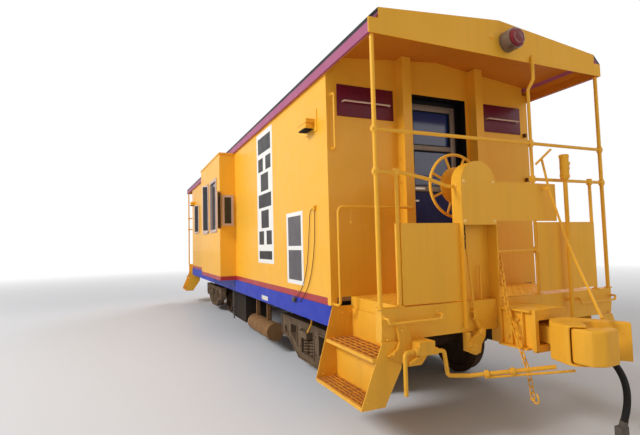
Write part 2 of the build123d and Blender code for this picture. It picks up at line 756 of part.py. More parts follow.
def truck_bolster():
    outline = [(-1130, 552), (-1130, 470), (-860, 470), (-500, 440), (500, 440), (860, 470), (1130, 470),
               (1130, 552), (900, 552), (400, 640), (-400, 640), (-900, 552)]
    beam = plate_yz(outline, -140, 140)
    bowl = Cylinder(190, 50, align=(Align.CENTER, Align.CENTER, Align.MAX))
    bowl = Pos(0, 0, CENTRE_PLATE_Z - SEAT) * bowl
    return beam + bowl


def springs():
    shapes = []
    for side in (-1, 1):
        for x in (-105, 105):
            shapes.append(Pos(x, side * FRAME_Y, 0) * rod((0, 0, 230), (0, 0, 470), 70))
    return shapes


def brake_beams():
    shapes = []
    half = AXLE_SPREAD / 2
    for end in (-1, 1):
        x = end * (half - WHEEL_RADIUS - 70)
        reach = FRAME_Y - FRAME_THICK / 2
        shapes.append(rod((x, -reach, AXLE_Z - 60), (x, reach, AXLE_Z - 60), 28))
    return shapes


def at_truck(shapes, end):
    return [Pos(end * TRUCK_X, 0, 0) * s for s in loose(shapes)]


def write(name, shapes):
    """Save one node with all its separate solids."""
    export_step(Compound(loose(shapes)), f"parts/{name}.step")


def main():
    os.makedirs("parts", exist_ok=True)
    single_end = {
        "end_platforms": [end_platform()],
        "brake_stands": [brake_stand()],
        "draft_boxes": [draft_box()],
    }
    nodes = {
        "roof": roof(),
        "side_wall_right": side_wall(-1),
        "side_wall_left": side_wall(1),
        "bay_right": bay_right(),
        "bay_left": [turned(s) for s in bay_right()],
        "end_wall_front": end_wall(),
        "end_wall_rear": [turned(s) for s in end_wall()],
        "window_frames": window_parts(0) + deflector(0),
        "window_glass": window_parts(1) + deflector(1),
        "centre_sill": centre_sill(),
        "side_sills": side_sills(),
        "cabin_floor": cabin_floor(),
        "steps": steps(),
        "end_railings": both_ends(end_railings()),
        "railing_panels": both_ends(railing_panels()),
        "grab_irons": grab_irons(),
        "uncoupling_gear": uncoupling_gear(),
        "coupler_lift_rods": lift_rods(),
        "backup_valves": backup_valves(),
        "end_lamps": end_lamps(),
        "marker_brackets": marker_brackets(),
        "gate_chains": gate_chains(),
        "air_reservoirs": air_reservoirs(),
        "equipment_boxes": equipment_boxes(),
        "brake_pipes": pipe_and_cock(),
    }
    for name, shapes in single_end.items():
        nodes[name] = both_ends(shapes)
    moving = {
        "door": [door()],
        "door_glass": door_glass(),
        "brake_wheel": [brake_wheel()],
        "coupler": [coupler()],
        "knuckle": [knuckle()],
        "air_hose": [air_hose()],
        "glad_hand": [glad_hand()],
    }
    for name, shapes in moving.items():
        nodes[name + "_front"] = shapes
        nodes[name + "_rear"] = [turned(s) for s in loose(shapes)]
    truck = {
        "side_frames": both_sides([side_frame()]),
        "truck_bolster": [truck_bolster()],
        "truck_springs": springs(),
        "brake_beams": brake_beams(),
    }
    for name, shapes in truck.items():
        nodes[name + "_front"] = at_truck(shapes, 1)
        nodes[name + "_rear"] = at_truck(shapes, -1)
    spots = [TRUCK_X + AXLE_SPREAD / 2, TRUCK_X - AXLE_SPREAD / 2, -TRUCK_X + AXLE_SPREAD / 2,
             -TRUCK_X - AXLE_SPREAD / 2]
    for number, x in enumerate(spots, 1):
        nodes[f"axle_{number}"] = [Pos(x, 0, AXLE_Z) * axle()]
        nodes[f"wheels_{number}"] = [Pos(x, 0, AXLE_Z) * w for w in wheels()]
    for name, shapes in nodes.items():
        write(name, shapes)


main()
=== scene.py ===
import math

import bmesh
import bpy
from mathutils import Matrix, Vector

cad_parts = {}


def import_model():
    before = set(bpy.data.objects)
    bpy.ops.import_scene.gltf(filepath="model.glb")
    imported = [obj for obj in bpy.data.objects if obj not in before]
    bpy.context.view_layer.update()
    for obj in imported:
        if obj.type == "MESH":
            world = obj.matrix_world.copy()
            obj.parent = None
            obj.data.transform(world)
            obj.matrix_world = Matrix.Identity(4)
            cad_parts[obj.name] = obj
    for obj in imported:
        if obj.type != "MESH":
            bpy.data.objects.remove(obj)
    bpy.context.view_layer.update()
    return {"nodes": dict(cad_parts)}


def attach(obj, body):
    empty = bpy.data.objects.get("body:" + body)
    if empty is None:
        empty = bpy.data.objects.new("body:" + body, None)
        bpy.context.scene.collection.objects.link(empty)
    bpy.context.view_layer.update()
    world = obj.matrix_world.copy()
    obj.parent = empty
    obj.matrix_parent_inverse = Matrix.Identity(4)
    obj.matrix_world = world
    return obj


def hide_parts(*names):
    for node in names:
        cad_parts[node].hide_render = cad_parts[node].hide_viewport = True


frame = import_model()
NODES = frame["nodes"]

# Sizes in metres, the same as the CAD's
END = 4.977
HALF = 1.413
FLOOR_TOP = 1.172
EAVE_BOTTOM = 3.454
EAVE_TOP = 3.586
ROOF_PEAK = 3.815
ROOF_REACH = END + 0.952
SILL_TOP = 1.09
BOX_SIDE = 0.172

# The hanging air hose: the middle of the front one, point by point
HOSE_ROUTE = [(-0.099, 0.380, 0.700), (-0.055, 0.380, 0.656), (-0.020, 0.380, 0.605),
              (0.004, 0.379, 0.548), (0.017, 0.377, 0.487), (0.020, 0.374, 0.425),
              (0.016, 0.371, 0.363), (0.006, 0.367, 0.302), (-0.008, 0.362, 0.240)]
HOSE_X = END + 1.680
HOSE_DIAMETER = 0.054


# Camera: its place, its focal length on a 36 mm sensor, and its yaw, pitch and roll in degrees

CAMERA_PLACE = (9.013, -3.284, 1.706)
CAMERA_LENS = 24.91
CAMERA_TURNS = (23.706, 3.467, -1.431)


def camera():
    """The photograph's camera, as fitted to the car's corners."""
    data = bpy.data.cameras.new("camera")
    data.sensor_width = 36
    data.lens = CAMERA_LENS
    data.clip_end = 200
    made = bpy.data.objects.new("camera", data)
    bpy.context.scene.collection.objects.link(made)
    yaw, pitch, roll = (math.radians(angle) for angle in CAMERA_TURNS)
    ahead = Vector((-math.cos(yaw) * math.cos(pitch), math.sin(yaw) * math.cos(pitch), math.sin(pitch)))
    flat = ahead.cross(Vector((0, 0, 1))).normalized()
    lift = flat.cross(ahead)
    right = flat * math.cos(roll) + lift * math.sin(roll)
    up = lift * math.cos(roll) - flat * math.sin(roll)
    turn = Matrix((right, up, -ahead)).transposed()
    made.matrix_world = Matrix.Translation(CAMERA_PLACE) @ turn.to_4x4()
    bpy.context.scene.camera = made


camera()


# Shader helpers

def fill(tree, made, values):
    """A node's inputs, each set to a value or linked to a socket."""
    for place, value in values.items():
        if isinstance(value, bpy.types.NodeSocket):
            tree.links.new(value, made.inputs[place])
        else:
            made.inputs[place].default_value = value


def node(tree, kind, values=None, **settings):
    """A new shader node with its settings and inputs."""
    made = tree.nodes.new(kind)
    for name, value in settings.items():
        setattr(made, name, value)
    fill(tree, made, values or {})
    return made


def calc(tree, operation, a, b=0.0, c=0.0):
    values = {0: a, 1: b, 2: c}
    return node(tree, "ShaderNodeMath", values, operation=operation).outputs[0]


def mixed(tree, share, a, b):
    """Colour a where share is 0 and colour b where it is 1."""
    values = {0: share, 6: a, 7: b}
    return node(tree, "ShaderNodeMix", values, data_type="RGBA").outputs[2]


def noise(tree, where, scale, detail=4.0, roughness=0.55):
    values = {"Vector": where, "Scale": scale, "Detail": detail, "Roughness": roughness}
    return node(tree, "ShaderNodeTexNoise", values).outputs["Fac"]


def stretched(tree, where, scale):
    return node(tree, "ShaderNodeMapping", {"Vector": where, "Scale": scale}).outputs[0]


def ranged(tree, value, low, high, to_low=0.0, to_high=1.0):
    values = {"Value": value, "From Min": low, "From Max": high, "To Min": to_low, "To Max": to_high}
    return node(tree, "ShaderNodeMapRange", values).outputs[0]


def linear(colour):
    """A colour as it is seen on a screen, made linear for the shader."""
    parts = [c / 255 for c in colour]
    return tuple(c / 12.92 if c < 0.04045 else ((c + 0.055) / 1.055) ** 2.4 for c in parts) + (1.0,)


def weather_group():
    """Sun-faded paint with blotches, streaks down its height, dirt low down and worn spots."""
    group = bpy.data.node_groups.new("weather", "ShaderNodeTree")
    face = group.interface
    for name, kind, value in (
        ("Paint", "NodeSocketColor", (0.8, 0.5, 0.1, 1)),
        ("Dirt", "NodeSocketColor", (0.12, 0.09, 0.06, 1)),
        ("Fading", "NodeSocketFloat", 0.25),
        ("Dirt amount", "NodeSocketFloat", 0.2),
        ("Wear", "NodeSocketFloat", 0.0),
        ("Roughness", "NodeSocketFloat", 0.4),
    ):
        face.new_socket(name, in_out="INPUT", socket_type=kind).default_value = value
    face.new_socket("Color", in_out="OUTPUT", socket_type="NodeSocketColor")
    for name in ("Roughness", "Height"):
        face.new_socket(name, in_out="OUTPUT", socket_type="NodeSocketFloat")
    given = group.nodes.new("NodeGroupInput").outputs
    where = node(group, "ShaderNodeTexCoord").outputs["Object"]
    broad = noise(group, where, 0.9, 3.0)
    blotch = noise(group, where, 5.5, 6.0, 0.62)
    streak = noise(group, stretched(group, where, (7.0, 7.0, 0.5)), 1.3, 6.0, 0.65)
    grain = noise(group, where, 85.0, 2.0)
    speck = noise(group, where, 34.0, 5.0, 0.7)
    height = node(group, "ShaderNodeSeparateXYZ", {0: where}).outputs[2]

    pale = calc(group, "MULTIPLY", ranged(group, broad, 0.35, 0.7), given["Fading"])
    lighter = node(group, "ShaderNodeVectorMath", {0: given["Paint"], "Scale": 1.5}, operation="SCALE")
    colour = mixed(group, pale, given["Paint"], lighter.outputs[0])
    soil = calc(group, "MULTIPLY", ranged(group, streak, 0.5, 0.85), given["Dirt amount"])
    low = calc(group, "MULTIPLY", ranged(group, height, 1.5, 0.1), given["Dirt amount"])
    low = calc(group, "MULTIPLY", low, ranged(group, blotch, 0.3, 0.7, 0.35, 1.3))
    share = node(group, "ShaderNodeClamp", {0: calc(group, "ADD", soil, low)}).outputs[0]
    colour = mixed(group, share, colour, given["Dirt"])
    worn = calc(group, "MULTIPLY", ranged(group, speck, 0.66, 0.72), given["Wear"])
    colour = mixed(group, worn, colour, (0.09, 0.045, 0.025, 1))
    rough = calc(group, "ADD", given["Roughness"], ranged(group, blotch, 0.3, 0.7, -0.06, 0.1))
    rough = calc(group, "ADD", rough, calc(group, "MULTIPLY", share, 0.3))
    bump = calc(group, "ADD", calc(group, "MULTIPLY", grain, 0.12), calc(group, "MULTIPLY", blotch, 0.5))
    bump = calc(group, "SUBTRACT", bump, calc(group, "MULTIPLY", worn, 0.6))
    node(group, "NodeGroupOutput", {"Color": colour, "Roughness": rough, "Height": bump})
    return group


WEATHER = weather_group()


def material(name, colour, soiling, rough, dirt=(95, 80, 62), fading=0.0, wear=0.0, metal=0.0, coat=0.0,
             bump=0.004, shine=0.3, design=None):
    """Weathered paint; design may paint marks over the colour before the weather gets at it."""
    made = bpy.data.materials.new(name)
    made.use_nodes = True
    tree = made.node_tree
    tree.nodes.clear()
    paint = linear(colour)
    paint = design(tree, paint) if design else paint
    values = {"Paint": paint, "Dirt": linear(dirt), "Fading": fading, "Dirt amount": soiling,
              "Wear": wear, "Roughness": rough}
    weather = node(tree, "ShaderNodeGroup", values, node_tree=WEATHER).outputs
    values = {"Height": weather["Height"], "Distance": bump, "Strength": 0.5}
    bumped = node(tree, "ShaderNodeBump", values).outputs[0]
    shader = node(tree, "ShaderNodeBsdfPrincipled", {
        "Base Color": weather["Color"], "Roughness": weather["Roughness"], "Metallic": metal,
        "Coat Weight": coat, "Specular IOR Level": shine, "Normal": bumped})
    node(tree, "ShaderNodeOutputMaterial", {0: shader.outputs[0]})
    return made


def places(tree, by):
    """Object coordinates x, y, z, turned so that both sides or both ends read as the front right one."""
    where = node(tree, "ShaderNodeTexCoord").outputs["Object"]
    x, y, z = node(tree, "ShaderNodeSeparateXYZ", {0: where}).outputs
    if by == "side":
        turn = calc(tree, "MULTIPLY", calc(tree, "SIGN", y), -1.0)
    else:
        turn = calc(tree, "SIGN", x)
    return calc(tree, "MULTIPLY", x, turn), calc(tree, "MULTIPLY", y, turn), z


def inside(tree, *ranges):
    """1 where every coordinate lies between its two limits, and 0 elsewhere."""
    share = None
    for value, low, high in ranges:
        hit = calc(tree, "COMPARE", value, (low + high) / 2, (high - low) / 2)
        share = hit if share is None else calc(tree, "MULTIPLY", share, hit)
    return share


# Colours as seen in the photograph's light
YELLOW = (244, 181, 50)
# a deeper orange than YELLOW: painted shade for the underside of the roof
SOFFIT_SHADE = (204, 124, 28)
MAROON = (100, 12, 38)
EAVE = (164, 88, 124)
RED = (170, 48, 52)
BLUE = (36, 58, 176)
NAVY = (20, 22, 84)
WHITE = (236, 236, 232)
BLACK = (18, 18, 20)
DOOR_BLACK = (16, 16, 20)
PANE = (84, 80, 84)

# Marks painted on the sides: low x, high x, low z and high z of the strip and the panel
STRIPE = (SILL_TOP - 0.010, SILL_TOP + 0.075)
STRIP = (2.347, 3.137, 1.450, 3.410)
PANEL = (3.684, 4.247, 1.236, 2.103)
PANEL_SIDE, PANEL_RIM, PANEL_BAR = 0.060, 0.050, 0.025
# The strip's bars: middle height, left and right as shares of the strip, and half the bar's height
STRIP_BARS = [
    (0.06, 0.10, 0.90, 0.06), (0.19, 0.10, 0.42, 0.10), (0.19, 0.58, 0.90, 0.10),
    (0.33, 0.26, 0.74, 0.13), (0.47, 0.10, 0.90, 0.10), (0.61, 0.26, 0.74, 0.13),
    (0.75, 0.10, 0.42, 0.10), (0.75, 0.58, 0.90, 0.10), (0.90, 0.10, 0.90, 0.12),
]

# Lines on the roof's section: y across from the middle, z up
ROOF_FALL = 0.133 / 1.343
SKIN_TOP, SKIN_UNDER = ROOF_PEAK - 0.023, ROOF_PEAK - 0.040
SHOULDER_SLOPE, SHOULDER_LINE = 0.99, 4.984
GABLE_HALF, EAVE_INNER, PAST_ROOF = 1.354, 1.425, 1.6
GABLE_THICK = 0.012

# the reveal is the door's recess, which end_design paints black as shade
REVEAL_HALF, REVEAL_DEPTH, REVEAL_TOP = 0.407, 0.300, 3.366
STORM_BOTTOM = 2.268


def marked(tree, colour, mark, *ranges):
    """A colour, with a mark's colour where every coordinate lies between its limits."""
    return mixed(tree, inside(tree, *ranges), colour, linear(mark))


def side_design(tree, paint):
    """The red stripe, the white strip with its dark bars and the two-pane panel."""
    x, y, z = places(tree, "side")
    colour = marked(tree, paint, RED, (x, -END, END - 0.08), (z, *STRIPE))
    x0, x1, z0, z1 = STRIP
    colour = marked(tree, colour, WHITE, (x, x0, x1), (z, z0, z1))
    for share, left, right, half in STRIP_BARS:
        middle = z0 + share * (z1 - z0)
        across = (x, x0 + left * (x1 - x0), x0 + right * (x1 - x0))
        colour = marked(tree, colour, BLACK, across, (z, middle - half, middle + half))
    x0, x1, z0, z1 = PANEL
    colour = marked(tree, colour, WHITE, (x, x0, x1), (z, z0, z1))
    across = (x, x0 + PANEL_SIDE, x1 - PANEL_SIDE)
    middle = (z0 + z1) / 2
    for low, high in ((z0 + PANEL_RIM, middle - PANEL_BAR), (middle + PANEL_BAR, z1 - PANEL_RIM)):
        colour = marked(tree, colour, PANE, across, (z, low, high))
    return colour


def bay_design(tree, paint):
    x, y, z = places(tree, "side")
    return marked(tree, paint, RED, (z, *STRIPE))


def roof_design(tree, paint):
    """Black above, mauve along the eaves, yellow at the ends, and a deeper orange painted shade on the
    underside.
    """
    x, y, z = places(tree, "side")
    across = calc(tree, "ABSOLUTE", y)
    level = calc(tree, "ADD", z, calc(tree, "MULTIPLY", across, ROOF_FALL))
    slanted = calc(tree, "ADD", z, calc(tree, "MULTIPLY", across, SHOULDER_SLOPE))
    over = calc(tree, "GREATER_THAN", level, SKIN_TOP)
    shoulder = calc(tree, "GREATER_THAN", slanted, SHOULDER_LINE)
    # under marks the roof's underside, which gets the painted shade
    under = calc(tree, "LESS_THAN", level, SKIN_UNDER)
    corner = inside(tree, (across, GABLE_HALF, PAST_ROOF), (z, EAVE_TOP, ROOF_PEAK))
    edge = inside(tree, (across, EAVE_INNER, PAST_ROOF), (z, EAVE_BOTTOM - 0.1, EAVE_TOP))
    colour = mixed(tree, under, paint, linear(SOFFIT_SHADE))
    colour = mixed(tree, calc(tree, "MAXIMUM", edge, corner), colour, linear(EAVE))
    colour = mixed(tree, calc(tree, "MAXIMUM", over, shoulder), colour, linear(BLACK))
    away = calc(tree, "GREATER_THAN", calc(tree, "ABSOLUTE", x), ROOF_REACH - GABLE_THICK)
    gable = calc(tree, "MULTIPLY", away, calc(tree, "SUBTRACT", 1.0, corner))
    return mixed(tree, gable, colour, paint)


def end_design(tree, paint):
    """The reveal round the door painted black: painted shade in the door's recess."""
    x, y, z = places(tree, "end")
    return marked(tree, paint, BLACK, (x, END - REVEAL_DEPTH, END - 0.002),
                  (y, -REVEAL_HALF, REVEAL_HALF), (z, FLOOR_TOP, REVEAL_TOP))


def door_design(tree, paint):
    """Black round the storm window, navy below it."""
    x, y, z = places(tree, "end")
    return mixed(tree, calc(tree, "GREATER_THAN", z, STORM_BOTTOM), paint, linear(DOOR_BLACK))


def glass(name, colour, rough, see_through):
    made = bpy.data.materials.new(name)
    made.use_nodes = True
    values = {"Base Color": linear(colour), "Roughness": rough, "Transmission Weight": see_through,
              "IOR": 1.45}
    fill(made.node_tree, made.node_tree.nodes["Principled BSDF"], values)
    return made


# Each look: its material's name, its colour, how soiled it is and how rough
MATERIALS = {
    "yellow": material("body_yellow", YELLOW, 0.06, 0.40, fading=0.05, coat=0.08),
    "platform": material("platform_yellow", YELLOW, 0.14, 0.44, fading=0.04, wear=0.06, coat=0.05),
    "casting": material("casting_yellow", (240, 176, 46), 0.20, 0.50, fading=0.04, wear=0.18,
                        bump=0.012),
    "pale_yellow": material("bolt_yellow", (250, 206, 116), 0.1, 0.4, fading=0.1),
    "deck": material("deck_yellow", (236, 160, 46), 0.6, 0.55, dirt=(120, 60, 34), fading=0.05,
                     wear=0.5),
    "side": material("side_yellow", YELLOW, 0.06, 0.40, fading=0.06, coat=0.08, design=side_design),
    "bay": material("bay_yellow", YELLOW, 0.06, 0.40, fading=0.06, coat=0.08, design=bay_design),
    "roof": material("roof_paint", YELLOW, 0.08, 0.5, fading=0.04, design=roof_design),
    "end": material("end_yellow", YELLOW, 0.08, 0.42, fading=0.04, coat=0.06, design=end_design),
    "blue": material("sill_blue", BLUE, 0.12, 0.46, shine=0.2),
    "navy": material("door_navy", NAVY, 0.06, 0.42, shine=0.2, design=door_design),
    "window": material("window_frame_grey", (204, 182, 174), 0.35, 0.5, dirt=(120, 98, 84),
                       metal=0.25),
    "aluminium": material("storm_frame_grey", (134, 124, 112), 0.5, 0.5, dirt=(96, 76, 62), metal=0.4),
    "steel": material("latch_steel", (206, 202, 194), 0.15, 0.35, metal=0.6),
    "white": material("plate_white", (226, 224, 214), 0.3, 0.5),
    "truck": material("truck_brown", (122, 104, 84), 0.5, 0.82, dirt=(80, 60, 44), wear=0.5, bump=0.02,
                      shine=0.15),
    "wheel": material("wheel_brown", (92, 72, 56), 0.5, 0.75, dirt=(64, 46, 34), wear=0.5, bump=0.012,
                      shine=0.15),
    "under": material("underframe_black", (34, 32, 32), 0.4, 0.8, dirt=(78, 64, 50), wear=0.2,
                      shine=0.15),
    "tan": material("reservoir_tan", (150, 112, 72), 0.5, 0.7, dirt=(92, 68, 46), wear=0.3, shine=0.2),
    "rubber": material("hose_black", (20, 20, 21), 0.12, 0.62, dirt=(60, 54, 48), shine=0.25),
    "cable": material("cable_brown", (104, 62, 24), 0.2, 0.6),
    "iron": material("fitting_grey", (96, 92, 88), 0.4, 0.6, wear=0.3, metal=0.3),
    "lamp": material("lamp_housing", (128, 114, 106), 0.2, 0.32, metal=0.6),
    "maroon": material("locker_maroon", MAROON, 0.12, 0.4),
    "handle": material("handle_pale", (214, 190, 168), 0.3, 0.45),
    # a brown that paints the shade seen between the treads' bars
    "gap": material("tread_gap_brown", (142, 82, 26), 0.3, 0.8),
    "floor": material("floor_wood", (150, 118, 84), 0.4, 0.7),
    "red_lens": glass("red_lens", (132, 10, 18), 0.12, 0.2),
    "glass": glass("window_glass", (58, 62, 70), 0.08, 0.5),
    "dark_glass": glass("door_glass", (34, 62, 124), 0.10, 0.15),
    "lamp_glass": glass("lamp_glass", (60, 56, 50), 0.15, 0.3),
}

# The look of each node
LOOKS = {
    "roof": "roof", "side_wall_right": "side", "side_wall_left": "side", "bay_right": "bay",
    "bay_left": "bay", "end_wall_front": "end", "end_wall_rear": "end", "window_frames": "window",
    "window_glass": "glass", "centre_sill": "under", "side_sills": "blue", "cabin_floor": "floor",
    "air_reservoirs": "tan", "equipment_boxes": "under", "brake_pipes": "casting",
    "marker_brackets": "yellow", "end_lamps": "lamp", "axle": "wheel", "wheels": "wheel",
    "side_frames": "truck", "truck_bolster": "truck", "truck_springs": "truck", "brake_beams": "truck",
    "door": "navy", "door_glass": "dark_glass", "coupler": "casting", "knuckle": "casting",
    "uncoupling_gear": "casting", "backup_valves": "casting", "glad_hand": "iron", "air_hose": "rubber",
}


def look_of(name):
    """The look of a node: its own, or its group's where the nodes are numbered or named by end."""
    return LOOKS.get(name) or LOOKS.get(name.rsplit("_", 1)[0], "platform")


for name, obj in NODES.items():
    look = MATERIALS[look_of(name)]
    if not obj.data.materials:
        obj.data.materials.append(look)
    for place in range(len(obj.material_slots)):
        obj.material_slots[place].material = look


# Air hoses

def strand(name, routes, radius, around, along, closed=False):
    """A tube along each route. The spline's order and ends are set once it has its points."""
    curve = bpy.data.curves.new(name, "CURVE")
    curve.dimensions = "3D"
    curve.bevel_depth = radius
    curve.bevel_resolution = around
    curve.resolution_u = along
    curve.use_fill_caps = True
    for route in routes:
        spline = curve.splines.new("NURBS")
        spline.points.add(len(route) - 1)
        for point, place in zip(spline.points, route):
            point.co = (*place, 1)
        spline.order_u = 3
        spline.use_endpoint_u = not closed
        spline.use_cyclic_u = closed
    return curve


def hose(end):
    """The rubber hose at one end, hanging from its pipe down to the coupling at its tip."""
    side = 1 if end == "front" else -1
    route = [(side * (HOSE_X + x), side * y, z) for x, y, z in HOSE_ROUTE]
    curve = strand("hose_" + end, [route], HOSE_DIAMETER / 2, 6, 12)
    made = bpy.data.objects.new("hose_" + end, curve)
    bpy.context.scene.collection.objects.link(made)
    curve.materials.append(MATERIALS["rubber"])
    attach(made, "root")
    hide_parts("air_hose_" + end)


hose("front")
hose("rear")


# Mesh helpers

DOMED = [(0, -0.1), (1, -0.1), (1, 0.3), (0.8, 0.74), (0.45, 0.94), (0, 1)]
HEXAGON = [(0, -0.1), (1, -0.1), (1, 0.84), (0.86, 1), (0, 1)]


def spun(mesh, profile, place, axis, radius=1.0, height=1.0, sides=20):
    """A profile of (radius, height) points spun about an axis that starts at place."""
    turn = Vector(axis).to_track_quat("Z", "Y")
    rings = []
    for r, h in profile:
        ring = []
        for i in range(sides if r else 1):
            angle = math.tau * i / sides
            spot = Vector((r * radius * math.cos(angle), r * radius * math.sin(angle), h * height))
            ring.append(mesh.verts.new(Vector(place) + turn @ spot))
        rings.append(ring)
    for low, high in zip(rings, rings[1:]):
        for i in range(sides):
            j = i + 1
            corners = [low[i % len(low)], low[j % len(low)], high[j % len(high)], high[i % len(high)]]
            mesh.faces.new(list(dict.fromkeys(corners)))


def bolts(mesh, spots, axis, radius, height, profile=DOMED):
    for spot in spots:
        spun(mesh, profile, spot, axis, radius, height, 6 if profile is HEXAGON else 20)


def rounded_cube(mesh, place, edge):
    """A cube of side 1 put in its place by a matrix, with its edges rounded off."""
    made = bmesh.ops.create_cube(mesh, size=1, matrix=place)
    edges = {joint for corner in made["verts"] for joint in corner.link_edges}
    bmesh.ops.bevel(mesh, geom=list(edges), offset=edge, segments=2, affect="EDGES", profile=0.5)


def box(mesh, low, high, edge=0.0015):
    """A box between two corners."""
    middle = [(a + b) / 2 for a, b in zip(low, high)]
    size = [b - a for a, b in zip(low, high)]
    place = Matrix.Translation(middle) @ Matrix.Diagonal((*size, 1))
    rounded_cube(mesh, place, edge)


def beam(mesh, start, end, across, wide, thick, edge=0.002):
    """A bar of rectangular section from start to end, so wide along the direction across."""
    start, end, across = Vector(start), Vector(end), Vector(across)
    along = (end - start).normalized()
    third = along.cross(across).normalized()
    turn = Matrix((across * wide, third * thick, along * (end - start).length)).transposed().to_4x4()
    rounded_cube(mesh, Matrix.Translation((start + end) / 2) @ turn, edge)


def plate(mesh, points, low, high):
    """An outline of (y, z) points, given thickness along X."""
    back = [mesh.verts.new((low, y, z)) for y, z in points]
    front = [mesh.verts.new((high, y, z)) for y, z in points]
    mesh.faces.new(back)
    mesh.faces.new(front[::-1])
    for i in range(len(points)):
        j = (i + 1) % len(points)
        mesh.faces.new((back[j], back[i], front[i], front[j]))


def mirrored(build):
    """The same pieces on both sides of the car."""
    def both(mesh):
        build(mesh)
        copy = bmesh.ops.duplicate(mesh, geom=mesh.verts[:] + mesh.edges[:] + mesh.faces[:])["geom"]
        corners = [part for part in copy if isinstance(part, bmesh.types.BMVert)]
        for corner in corners:
            corner.co.y = -corner.co.y
        faces = [part for part in copy if isinstance(part, bmesh.types.BMFace)]
        bmesh.ops.reverse_faces(mesh, faces=faces)
    return both


ENDS = ("front", "rear")
# Edges that turn more than this, in radians, stay sharp
SHARP = 0.55


def placed(name, data, look, body):
    """An object of its own, with its look and the body it rides on."""
    made = bpy.data.objects.new(name, data)
    bpy.context.scene.collection.objects.link(made)
    data.materials.append(MATERIALS[look])
    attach(made, body)
    return made


def carrier(body, end):
    """The body a piece rides on: the one of that name at this end, or else the root."""
    return body + "_" + end if body else "root"


def piece(name, end, build, look, body=None):
    """One mesh piece, built at the front; the rear half is the front half turned half round."""
    name += "_" + end
    mesh = bmesh.new()
    build(mesh)
    if end == "rear":
        bmesh.ops.transform(mesh, matrix=Matrix.Rotation(math.pi, 4, "Z"), verts=mesh.verts[:])
    bmesh.ops.recalc_face_normals(mesh, faces=mesh.faces[:])
    for face in mesh.faces:
        face.smooth = True
    for edge in mesh.edges:
        edge.smooth = edge.is_manifold and edge.calc_face_angle(0) < SHARP
    data = bpy.data.meshes.new(name)
    mesh.to_mesh(data)
    mesh.free()
    return placed(name, data, look, carrier(body, end))


def wires(name, end, routes, radius, look, body=None, closed=False):
    """Rigid pipes, bars or chain links of one thickness, each along its own route."""
    name += "_" + end
    turn = -1 if end == "rear" else 1
    routes = [[(turn * x, turn * y, z) for x, y, z in route] for route in routes]
    return placed(name, strand(name, routes, radius, 4, 6, closed), look, carrier(body, end))


# Bolts and small plates

STAND_FACE = END + 0.980
STAND_BOLTS = [(STAND_FACE, y, z) for y in (-0.545, -0.205) for z in (2.232, 1.878)]
COLUMN_BOLT_Z = (1.32, 1.58, 1.84, 2.10, 2.36, 2.61, 2.89)
COLUMN_SIDE = 0.560
SILL_FACE = END + 0.940
STEP_INNER_FACE = END + 0.046
OUTER_STEP_BOLTS = [(-1.556, 0.462), (-1.456, 0.462), (-1.365, 0.778), (-1.360, 0.926)]
INNER_STEP_BOLTS = [(-1.305, 1.021), (-1.225, 1.017), (-1.420, 0.456), (-1.536, 0.456)]
DRAFT_BOX_BOLTS = [(END + x, z) for x in (1.052, 1.166) for z in (0.86, 1.02)]
SILL_PLATE = ((2.545, -1.4255, 0.914), (2.847, -1.4200, 0.975))
DARK_BRACKETS = (2.451, 3.013)
# Radius and height of the bolt heads
STAND_BOLT, COLUMN_BOLT, OUTER_BOLT = (0.017, 0.011), (0.020, 0.012), (0.012, 0.008)
INNER_BOLT, BOX_BOLT, FRAME_BOLT = (0.010, 0.008), (0.017, 0.014), (0.017, 0.014)
CAP_BOLT, SCREW = (0.013, 0.012), (0.006, 0.003)


def yellow_bolts(mesh):
    bolts(mesh, STAND_BOLTS, (1, 0, 0), *STAND_BOLT)


def wall_bolts(mesh):
    """The bolts of the door column, of the steps' plates and of the draft box."""
    bolts(mesh, [(END + 0.045, -COLUMN_SIDE, z) for z in COLUMN_BOLT_Z], (0, -1, 0), *COLUMN_BOLT)
    bolts(mesh, [(SILL_FACE, y, z) for y, z in OUTER_STEP_BOLTS], (1, 0, 0), *OUTER_BOLT)
    bolts(mesh, [(STEP_INNER_FACE, y, z) for y, z in INNER_STEP_BOLTS], (1, 0, 0), *INNER_BOLT)
    bolts(mesh, [(x, -BOX_SIDE, z) for x, z in DRAFT_BOX_BOLTS], (0, -1, 0), *BOX_BOLT, HEXAGON)


def brackets(mesh):
    """The two small dark brackets on the end wall."""
    for z in DARK_BRACKETS:
        box(mesh, (END + 0.004, 1.322, z - 0.024), (END + 0.040, 1.350, z + 0.024), 0.004)


def blank_plates(mesh):
    box(mesh, *SILL_PLATE)


for end in ENDS:
    piece("stand_bolts", end, yellow_bolts, "pale_yellow")
    piece("wall_bolts", end, mirrored(wall_bolts), "platform")
    piece("wall_brackets", end, brackets, "cable")
    piece("sill_plate", end, blank_plates, "white")


# Doors: storm window, latch and lever

DOOR_FACE = END - 0.130
STORM_HALF, STORM_INNER, STORM_THICK = 0.335, 0.268, 0.014
STORM_RAILS = [(2.285, 2.345), (2.764, 2.820), (3.230, 3.300)]
SCREW_HEIGHTS = (2.33, 2.56, 2.80, 3.02, 3.25)
GASKET = 0.012
LATCH_LOW, LATCH_HIGH = (-0.275, 2.300), (-0.135, 2.326)
LEVER_Y, LEVER_Z, LEVER_LENGTH = -0.350, 2.170, 0.110


def storm_window(mesh):
    """The grey frame screwed over both panes, with its screws."""
    x0, x1 = DOOR_FACE - 0.001, DOOR_FACE + STORM_THICK
    low, high = STORM_RAILS[0][0], STORM_RAILS[-1][1]
    for side in (-1, 1):
        y0, y1 = sorted((side * STORM_INNER, side * STORM_HALF))
        box(mesh, (x0, y0, low), (x1, y1, high), 0.002)
    for z0, z1 in STORM_RAILS:
        box(mesh, (x0, -STORM_INNER - 0.001, z0), (x1 - 0.001, STORM_INNER + 0.001, z1), 0.002)
    middle = (STORM_HALF + STORM_INNER) / 2
    spots = [(x1, side * middle, z) for side in (-1, 1) for z in SCREW_HEIGHTS]
    bolts(mesh, spots, (1, 0, 0), *SCREW)


